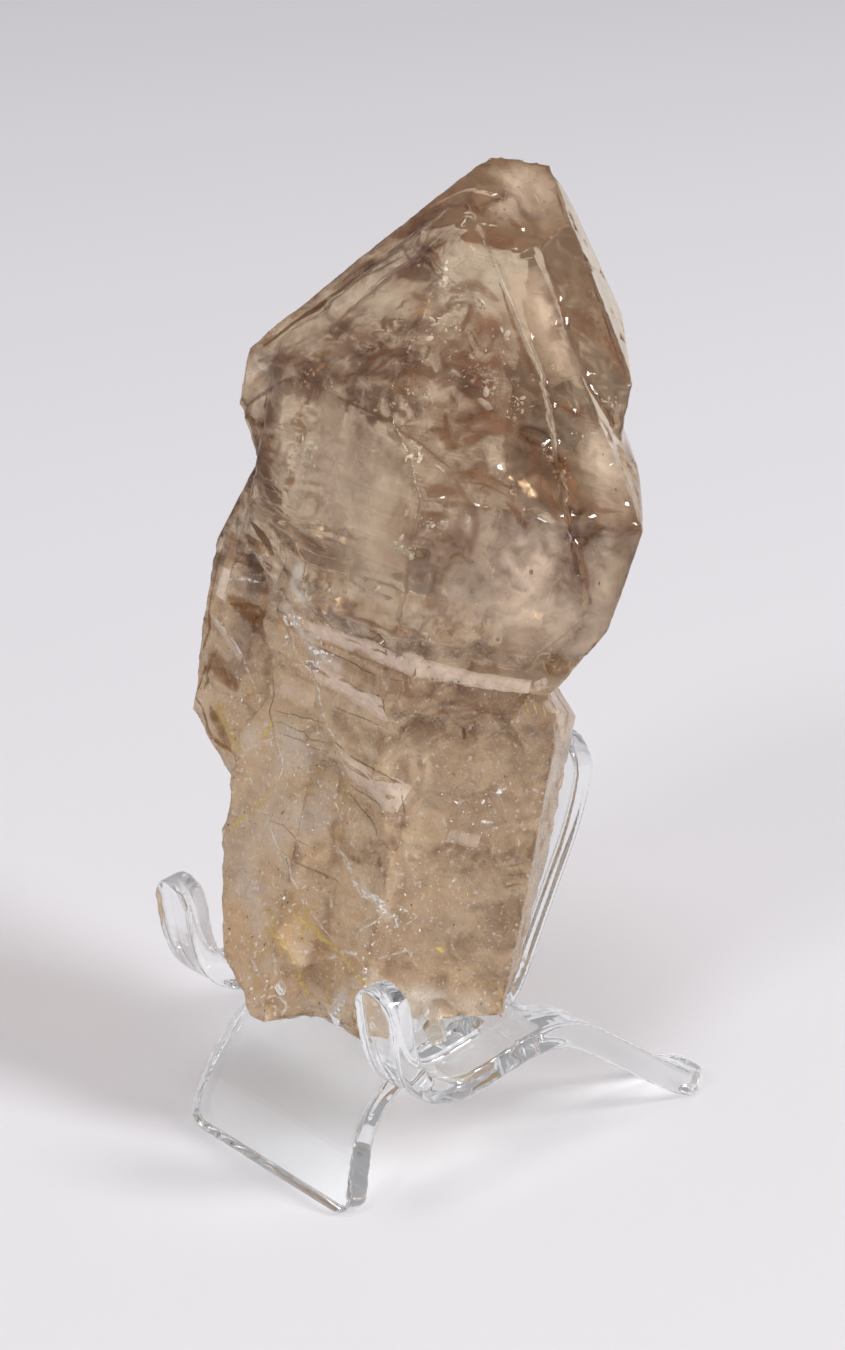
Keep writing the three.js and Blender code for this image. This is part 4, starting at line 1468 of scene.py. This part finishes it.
@dataclass
class Crystal:
    """The quartz: its skin with growth lines, etching and chips, and the veils and flecks inside it. Of each
    range, the first number is where a look is 0 and the second where it is 1."""

    axes: CrystalAxes = field(default_factory=CrystalAxes)
    view: PhotoView = PhotoView()
    voxel: float = 0.42
    body_finish: SmokyQuartzFinish = SmokyQuartzFinish()
    smoke_finish: VeilFinish = VeilFinish(VeilKind.SMOKE, "9e6c40", 1.0, 4.0)
    clot_finish: VeilFinish = VeilFinish(VeilKind.CLOT, "8c5c38", 1.0, 2.6, 0.45, 0.58, 0.0)
    milk_finish: VeilFinish = VeilFinish(VeilKind.MILK, "f8efee", 0.75, 2.4, 0.3, 0.6, 0.25)
    fleck_finish: FleckFinish = FleckFinish()
    chip_finish: MilkyQuartzFinish = MilkyQuartzFinish()
    trace_sets: tuple[TraceSet, ...] = (
        TraceSet(
            "brown_traces", BROWN_TRACES, VeilFinish(VeilKind.EDGE, "8a603e", 1.05, 1.8, 0.3, 0.6, 0.35),
            on_stem=0.32,
        ),
        TraceSet("dark_lines", DARK_LINES, VeilFinish(VeilKind.LINE, "5a4028", 0.8, 1.2, 0.3, 0.5, 0.3)),
        # Painted highlights on the stem's steps and the head's facets.
        TraceSet(
            "step_highlights", PAINTED_STEP_HIGHLIGHTS, VeilFinish(VeilKind.HIGHLIGHT, "efdac6", 0.9, 1.0, 0.3, 0.7, 0.55),
            taper=False,
        ),
        TraceSet("chalk_traces", CHALK_TRACES, VeilFinish(VeilKind.CHALK, "f4f0e8", 1.0, 0.7, 0.4, 0.6, 0.0)),
        TraceSet(
            "iron_traces", IRON_TRACES, VeilFinish(VeilKind.IRON, "dfc680", 0.95, 0.7, 0.36, 0.54, 0.15)
        ),
    )
    chips: tuple[Chip, ...] = CHIPS
    smoke: tuple[Cloud | Band, ...] = SMOKE_ZONES
    clots: tuple[Cloud, ...] = CLOTS
    milk: tuple[Cloud | Band, ...] = MILKY_ZONES
    flecks: tuple[Flecks, ...] = FLECK_CLUSTERS
    frosty: tuple[Mark, ...] = FROSTY_MARKS
    # The stem's steps, with painted shade darkest just under each step's top: foot and top along the axis,
    # and right edge.
    riser_shades: tuple[Triple, ...] = (
        (36.3, 40.5, 12.6), (28.0, 33.8, 7.4), (20.0, 25.1, 8.8), (14.0, 18.6, 9.0), (47.0, 49.0, 14.0),
    )
    # Ranges along the axis: stem, apex, left growth's top, overhang's foot and top, foot of the facet with
    # the painted reflection, foot.
    neck: tuple[float, float] = (46.0, 40.0)
    apex: tuple[float, float] = (85.0, 92.0)
    left_top: tuple[float, float] = (72.0, 60.0)
    overhang_foot: tuple[float, float] = (38.0, 41.0)
    overhang_top: tuple[float, float] = (55.0, 51.0)
    facet_foot: tuple[float, float] = (66.0, 70.0)
    lump_top: tuple[float, float] = (34.0, 29.0)
    broken_foot: tuple[float, float] = (9.0, 3.0)
    dull_top: tuple[float, float] = (50.0, 44.0)
    # Ranges across, to the right: left growth, risers' left end, lump, dull left side.
    left_side: tuple[float, float] = (-9.0, -19.0)
    riser_left: tuple[float, float] = (-6.0, -4.0)
    lump_right: tuple[float, float] = (3.0, 0.0)
    dull_left: tuple[float, float] = (-2.0, -9.0)
    # Ranges forward of the axis: front faces, lump, dull left side.
    front: tuple[float, float] = (4.0, 8.0)
    lump_front: tuple[float, float] = (11.5, 13.5)
    dull_front: tuple[float, float] = (10.0, 14.0)
    # Ranges of a unit normal's parts: facing down, right, back, the way the facet with the painted reflection
    # faces.
    facing_down: tuple[float, float] = (-0.12, -0.45)
    facing_right: tuple[float, float] = (0.5, 0.75)
    facing_back: tuple[float, float] = (-0.25, -0.45)
    facing_rear: tuple[float, float] = (0.1, -0.4)
    facing_facet: tuple[float, float] = (0.93, 0.97)
    riser_fade: float = 3.5
    riser_edge: float = 0.3
    glow: float = 3.6
    fleck_seed: int = 7
    chip_seed: int = 19

    def build(self) -> list[bpy.types.Object]:
        """Makes every piece of the crystal.

        Returns:
            The pieces.
        """
        self.find_marks()
        skin, edge = self.grow_skin()
        body = self.body(skin, edge)
        veils = [
            self.veils(self.smoke, self.smoke_finish, skin), self.veils(self.clots, self.clot_finish, skin),
            self.veils(self.milk, self.milk_finish, skin),
        ]
        traces = [self.traces(group, skin) for group in self.trace_sets]
        return [body, *veils, *traces, self.bright_flecks(skin), self.milky_chips()]

    def grow_skin(self) -> tuple[Skin, np.ndarray]:
        """Makes the skin of the whole crystal with its relief.

        Returns:
            The skin, and for each point 1 on sharp edges and 0 on faces.
        """
        skin = Skin.over_node("crystal", self.voxel)
        edge = smooth_step(0.006, 0.05, skin.sharpness())
        skin.relax(1)
        skin.sink(self.relief(self.axes.inward(skin.points), skin.normals @ self.axes.basis.T, edge))
        skin.grow_search()
        return skin, edge

    def find_marks(self) -> None:
        """Turns every mark's picked places into places on the crystal."""
        finder = Finder("crystal", self.axes, self.view)
        self.smoke = tuple(zone.placed(finder) for zone in self.smoke)
        self.milk = tuple(zone.placed(finder) for zone in self.milk)
        self.flecks = tuple(cluster.placed(finder) for cluster in self.flecks)
        self.frosty = tuple(mark.placed(finder) for mark in self.frosty)
        self.trace_sets = tuple(group.placed(finder) for group in self.trace_sets)

    def body(self, skin: Skin, edge: np.ndarray) -> bpy.types.Object:
        """Makes the skin a mesh with its looks as attributes, dressed as smoky quartz.

        Args:
            skin: skin of the crystal, in row frame mm.
            edge: 1 on sharp edges, 0 on faces.

        Returns:
            The piece.
        """
        place = self.axes.inward(skin.points)
        tilt = skin.normals @ self.axes.basis.T
        under = self.underside_finish_and_shade(place, tilt)
        looks = {
            "frost": np.clip(np.maximum(self.frost(place, tilt), 0.18 * edge) + 0.5 * under, 0.0, 1.0),
            "crust": np.clip(self.crust(place) + 0.5 * under, 0.0, 1.0),
            "rust": self.rust(place),
            # Painted shade: the smoke attribute is raised on sharp edges and on the faces under the head's
            # overhang.
            "smoke": np.clip(self.smoke_and_shade_share(place) + 0.5 * edge + 0.4 * under, 0.0, 1.0),
            "milk": self.milk_and_reflection_share(place, tilt),
        }
        obj = skin.to_object("crystal_body", looks)
        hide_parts("crystal")
        log.info("crystal body: %d points, %d faces", len(skin.points), len(skin.faces))
        return dress(obj, self.body_finish.material())

    def smoke_and_shade_share(self, place: np.ndarray) -> np.ndarray:
        """How brown the skin looks: a slow mottle, more on the left growth, painted shade under the
        stem's steps, and round each smoke band exp(-(d/glow)^2), d being the distance from its path;
        less on the stem and at the apex.

        Args:
            place: points in crystal mm.

        Returns:
            A share from 0 to 1 for each point.
        """
        x, y, z = place.T
        share = 0.12 + 0.22 * lattice_noise(place, 7.0, 21) + 0.15 * lattice_noise(place, 3.0, 22)
        left = smooth_step(*self.left_side, x) * smooth_step(*self.left_top, z)
        share += 0.5 * left * (1.0 - self.lump_share(place))
        # Painted shade: brown on the stem's front faces, darkest just under the top of each step and fading
        # downwards.
        front = smooth_step(*self.front, y) * smooth_step(*self.riser_left, x)
        hard = self.riser_edge
        for foot, top, right in self.riser_shades:
            rise = smooth_step(foot - self.riser_fade, top, z) * smooth_step(top + hard, top - hard, z)
            share += 0.3 * front * rise * smooth_step(right + hard, right - hard, x)
        for zone in self.smoke:
            if isinstance(zone, Band):
                share += 0.3 * zone.density * np.exp(-((near_path(place, zone.path) / self.glow) ** 2))
        share *= 1.0 - 0.35 * self.stem_share(place)
        share -= 0.12 * smooth_step(*self.apex, z)
        return np.clip(share, 0.0, 1.0)

    def milk_and_reflection_share(self, place: np.ndarray, tilt: np.ndarray) -> np.ndarray:
        """How milky the skin is: the greatest of frosty marks, a painted reflection on a facet high on the
        right, the stem's right rim and the lump.

        Args:
            place: points in crystal mm.
            tilt: normals in crystal axes.

        Returns:
            A share from 0 to 1 for each point.
        """
        # Painted reflection: milky white on the facet that faces back and to the right, high on the head.
        facet = smooth_step(*self.facing_facet, tilt @ np.array(BACK_RIGHT))
        facet_reflection = 0.8 * facet * smooth_step(*self.facet_foot, place[:, 2])
        turned = smooth_step(*self.facing_right, tilt[:, 0]) * smooth_step(*self.facing_back, tilt[:, 1])
        rim = 0.42 * self.stem_share(place) * turned
        lump = self.lump_share(place) * (0.36 + 0.3 * lattice_noise(place, 3.4, 43))
        marks = [mark.share(place) for mark in self.frosty]
        return np.clip(np.maximum.reduce([*marks, facet_reflection, rim, lump]), 0.0, 1.0)

    def underside_finish_and_shade(self, place: np.ndarray, tilt: np.ndarray) -> np.ndarray:
        """1 on the faces that look down at the front, where the head overhangs the stem; their dull crust is
        a finish, their added brown is painted shade.
        """
        low = smooth_step(*self.facing_down, tilt[:, 2]) * smooth_step(*self.overhang_foot, place[:, 2])
        return low * smooth_step(*self.overhang_top, place[:, 2]) * smooth_step(*self.front, place[:, 1])

    def stem_share(self, place: np.ndarray) -> np.ndarray:
        """1 on the stem, 0 on the head, blended over the neck."""
        return smooth_step(*self.neck, place[:, 2])

    def lump_share(self, place: np.ndarray) -> np.ndarray:
        """1 on the stained lump low on the front left and on the broken foot, 0 elsewhere.

        Args:
            place: points in crystal mm.

        Returns:
            A share from 0 to 1 for each point.
        """
        x, y, z = place.T
        lump = smooth_step(*self.lump_front, y) * smooth_step(*self.lump_right, x)
        return np.maximum(lump * smooth_step(*self.lump_top, z), smooth_step(*self.broken_foot, z))

    def relief(self, place: np.ndarray, tilt: np.ndarray, edge: np.ndarray) -> np.ndarray:
        """Depth of the skin under the flat faces, in mm: slow waviness from two noises, growth lines as sines
        along the axis on the faces parallel to it, etching on the stem and the lump, and nicks on the edges.

        Args:
            place: points in crystal mm.
            tilt: normals in crystal axes.
            edge: 1 on sharp edges, 0 on faces.

        Returns:
            Depth of each point, never below 0.
        """
        stem, lump = self.stem_share(place), self.lump_share(place)
        wave = 0.12 * (1.0 + lattice_noise(place, 9.0, 1)) + 0.03 * (1.0 + lattice_noise(place, 3.6, 2))
        parallel = np.clip(1.0 - 3.0 * np.abs(tilt[:, 2]), 0.0, 1.0)
        warp = 1.6 * lattice_noise(place, 11.0, 3)
        coarse = np.sin(TURN * (place[:, 2] + warp) / 2.3)
        lines = 0.5 + 0.3 * coarse + 0.2 * np.sin(TURN * (place[:, 2] + 2 * warp) / 0.97)
        etch = 0.5 + 0.3 * lattice_noise(place, 2.2, 4) + 0.2 * lattice_noise(place, 1.1, 5)
        rough = 0.5 + 0.35 * lattice_noise(place, 3.1, 6) + 0.25 * lattice_noise(place, 1.4, 7)
        nick = np.clip(lattice_noise(place, 1.7, 8) - 0.1, 0.0, 1.0)
        depth = wave + parallel * lines * 0.07 + stem * etch * 0.16 + lump * rough * 0.7 + edge * nick * 0.6
        return np.clip(depth, 0.0, None)

    def frost(self, place: np.ndarray, tilt: np.ndarray) -> np.ndarray:
        """How dull the skin is: glossy on the head, satin on the stem, frosted on the lump.

        Args:
            place: points in crystal mm.
            tilt: normals in crystal axes.

        Returns:
            A share from 0 to 1 for each point.
        """
        x, y, z = place.T
        cloud = 0.5 + 0.5 * lattice_noise(place, 5.0, 9)
        left = smooth_step(*self.dull_left, x) * smooth_step(*self.dull_front, y)
        left *= smooth_step(*self.dull_top, z)
        rear = smooth_step(*self.facing_rear, tilt[:, 1]) * 0.3 * cloud
        stem = self.stem_share(place) * (0.3 + 0.35 * cloud)
        return np.clip(0.04 * cloud + stem + 0.45 * self.lump_share(place) + 0.3 * left + rear, 0.0, 1.0)

    def crust(self, place: np.ndarray) -> np.ndarray:
        """How much of the skin is a dull beige crust: about half on the stem, more on the lump."""
        cloud = 0.5 + 0.5 * lattice_noise(place, 4.0, 42)
        return np.clip(self.stem_share(place) * (0.4 + 0.3 * cloud) + 0.25 * self.lump_share(place), 0.0, 1.0)

    def rust(self, place: np.ndarray) -> np.ndarray:
        """Iron stain on the lump and the foot: thin veins exp(-(n/0.07)^2) where the noise n crosses
        zero, and slow patches.

        Args:
            place: points in crystal mm.

        Returns:
            A share from 0 to 1 for each point.
        """
        vein = np.exp(-((lattice_noise(place, 6.0, 13) + 0.4 * lattice_noise(place, 2.5, 14)) / 0.07) ** 2)
        patch = smooth_step(0.1, 0.7, lattice_noise(place, 5.0, 15))
        return np.clip(self.lump_share(place) * (0.35 * vein + 0.35 * patch), 0.0, 1.0)

    def veils(self, sheets: tuple[Cloud | Band, ...], finish: VeilFinish, skin: Skin) -> bpy.types.Object:
        """Makes one mesh of all veils of one kind, kept inside the skin and dressed.

        Args:
            sheets: the veils.
            finish: their finish.
            skin: skin of the crystal, in row frame mm.

        Returns:
            The piece.
        """
        kept = []
        for number, veil in enumerate(sheets):
            points, faces, densities = veil.sheet(number)
            points, share = skin.keep_under(self.axes.outward(points))
            kept.append((points, faces, densities * share))
        points, faces, densities = join(kept)
        obj = mesh_object(f"{finish.kind.value}_veils", points * MM, faces, {"thickness": densities})
        return dress(obj, finish.material())

    def traces(self, group: TraceSet, skin: Skin) -> bpy.types.Object:
        """Makes one mesh of all traces of one kind, dressed.

        Args:
            group: the traces.
            skin: skin of the crystal, in row frame mm.

        Returns:
            The piece.
        """
        points, faces, densities = group.ribbons(skin, self.axes)
        obj = mesh_object(group.name, points * MM, faces, {"thickness": densities})
        return dress(obj, group.finish.material())

    def milky_chips(self) -> bpy.types.Object:
        """Makes one mesh of all chips, flat shaded and dressed.

        Returns:
            The piece.
        """
        rng = np.random.default_rng(self.chip_seed)
        points, faces, start = [], [], 0
        for chip in self.chips:
            stone, sides = chip.stone(rng)
            points.append(self.axes.outward(stone))
            faces += [[corner + start for corner in side] for side in sides]
            start += len(stone)
        obj = mesh_object("milky_chips", np.concatenate(points) * MM, faces, smooth=False)
        return dress(obj, self.chip_finish.material())

    def bright_flecks(self, skin: Skin) -> bpy.types.Object:
        """Makes one mesh of all flecks, flat shaded and dressed.

        Args:
            skin: skin of the crystal, in row frame mm.

        Returns:
            The piece.
        """
        rng = np.random.default_rng(self.fleck_seed)
        points, faces, golds = join([cluster.grains(rng, skin, self.axes) for cluster in self.flecks])
        obj = mesh_object("bright_flecks", points * MM, faces, {"gold": golds}, smooth=False)
        return dress(obj, self.fleck_finish.material())


# The stand


@dataclass
class Easel:
    """The bent acrylic easel, its cut edges rounded by the flame."""

    voxel: float = 0.32
    finish: ClearAcrylicFinish = ClearAcrylicFinish()

    def build(self) -> list[bpy.types.Object]:
        """Makes the easel.

        Returns:
            A list that holds it.
        """
        skin = Skin.over_node("stand", self.voxel)
        skin.relax(4)
        obj = skin.to_object("easel")
        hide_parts("stand")
        log.info("easel: %d points, %d faces", len(skin.points), len(skin.faces))
        return [dress(obj, self.finish.material())]


# The studio


@dataclass(frozen=True)
class AreaLamp:
    """Square soft light: where it hangs, its side and its power, its colour and what it looks at."""

    name: str
    at: Triple
    side: float
    power: float
    colour: str = "ffffff"
    aim: Triple = (0.0, 0.0, 0.04)

    def hang(self) -> None:
        """Adds the lamp to the scene."""
        data = bpy.data.lights.new(self.name, "AREA")
        data.shape = "SQUARE"
        data.size = self.side
        data.energy = self.power
        data.color = linear(self.colour)[:3]
        lamp = bpy.data.objects.new(self.name, data)
        lamp.location = self.at
        lamp.rotation_euler = (Vector(self.aim) - Vector(self.at)).to_track_quat("-Z", "Y").to_euler()
        bpy.context.collection.objects.link(lamp)


@dataclass
class Studio:
    """Pale floor, soft light and the camera at the photo's angle. The floor lies a hair under the feet."""

    axes: CrystalAxes = field(default_factory=CrystalAxes)
    view: PhotoView = PhotoView()
    floor_colour: str = "e9e7ea"
    floor_half: float = 4.0
    floor_level: float = -0.05 * MM
    world_colour: str = "e8e6ea"
    world_strength: float = 0.41
    bounces: int = 20
    clip: tuple[float, float] = (0.01, 50.0)
    lamps: tuple[AreaLamp, ...] = (
        AreaLamp("softbox_top", (0.25, -0.45, 2.20), 0.60, 9.0),
        AreaLamp("softbox_right", (1.50, 0.70, 1.40), 0.50, 27.5),
        AreaLamp("softbox_front", (0.45, -1.70, 1.50), 0.50, 10.0),
    )

    def build(self) -> None:
        """Sets the camera first, then floor, lamps, world, colour view and light bounces."""
        self.camera()
        self.floor()
        for lamp in self.lamps:
            lamp.hang()
        self.world()
        scene = bpy.context.scene
        scene.view_settings.view_transform = "Standard"
        scene.cycles.max_bounces = self.bounces
        scene.cycles.glossy_bounces = self.bounces
        scene.cycles.transmission_bounces = self.bounces
        scene.cycles.transparent_max_bounces = self.bounces + 4

    def camera(self) -> None:
        """Camera with its back along the photo's azimuth and elevation and its long side upright."""
        data = bpy.data.cameras.new("camera")
        data.sensor_fit = "VERTICAL"
        data.sensor_height = self.view.film
        data.lens = self.view.lens
        data.clip_start, data.clip_end = self.clip
        cam = bpy.data.objects.new("camera", data)
        at = Vector(self.view.eye_place(self.axes)) * MM
        cam.matrix_world = Matrix.Translation(at) @ Matrix(self.view.ways.tolist()).transposed().to_4x4()
        bpy.context.collection.objects.link(cam)
        bpy.context.scene.camera = cam

    def floor(self) -> None:
        """Flat pale ground, far wider than the view."""
        lines = np.linspace(-self.floor_half, self.floor_half, 9)
        x, y = np.meshgrid(lines, lines, indexing="ij")
        points = np.stack([x.ravel(), y.ravel(), np.full(x.size, self.floor_level)], -1)
        ground = mesh_object("ground", points, grid_faces(len(lines), len(lines)))
        material, tree = empty_material("matt_paper")
        paper = {"Base Color": linear(self.floor_colour), "Roughness": 0.85, "Specular IOR Level": 0.2}
        show(tree, add_node(tree, "ShaderNodeBsdfPrincipled", paper))
        ground.data.materials.append(material)

    def world(self) -> None:
        """Even pale surroundings."""
        world = bpy.data.worlds.new("studio")
        world.use_nodes = True
        tree = world.node_tree
        tree.nodes.clear()
        glow = {"Color": linear(self.world_colour), "Strength": self.world_strength}
        sky = add_node(tree, "ShaderNodeBackground", glow)
        add_node(tree, "ShaderNodeOutputWorld", {"Surface": sky.outputs["Background"]})
        bpy.context.scene.world = world


def main() -> None:
    """Builds studio, stand and crystal in order, and reports each piece."""
    logging.basicConfig(level=logging.INFO, format="%(name)s: %(message)s")
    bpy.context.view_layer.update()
    Studio().build()
    for part in (Easel(), Crystal()):
        for piece in part.build():
            log.info("made %s with %d faces", piece.name, len(piece.data.polygons))


if __name__ == "__main__":
    main()
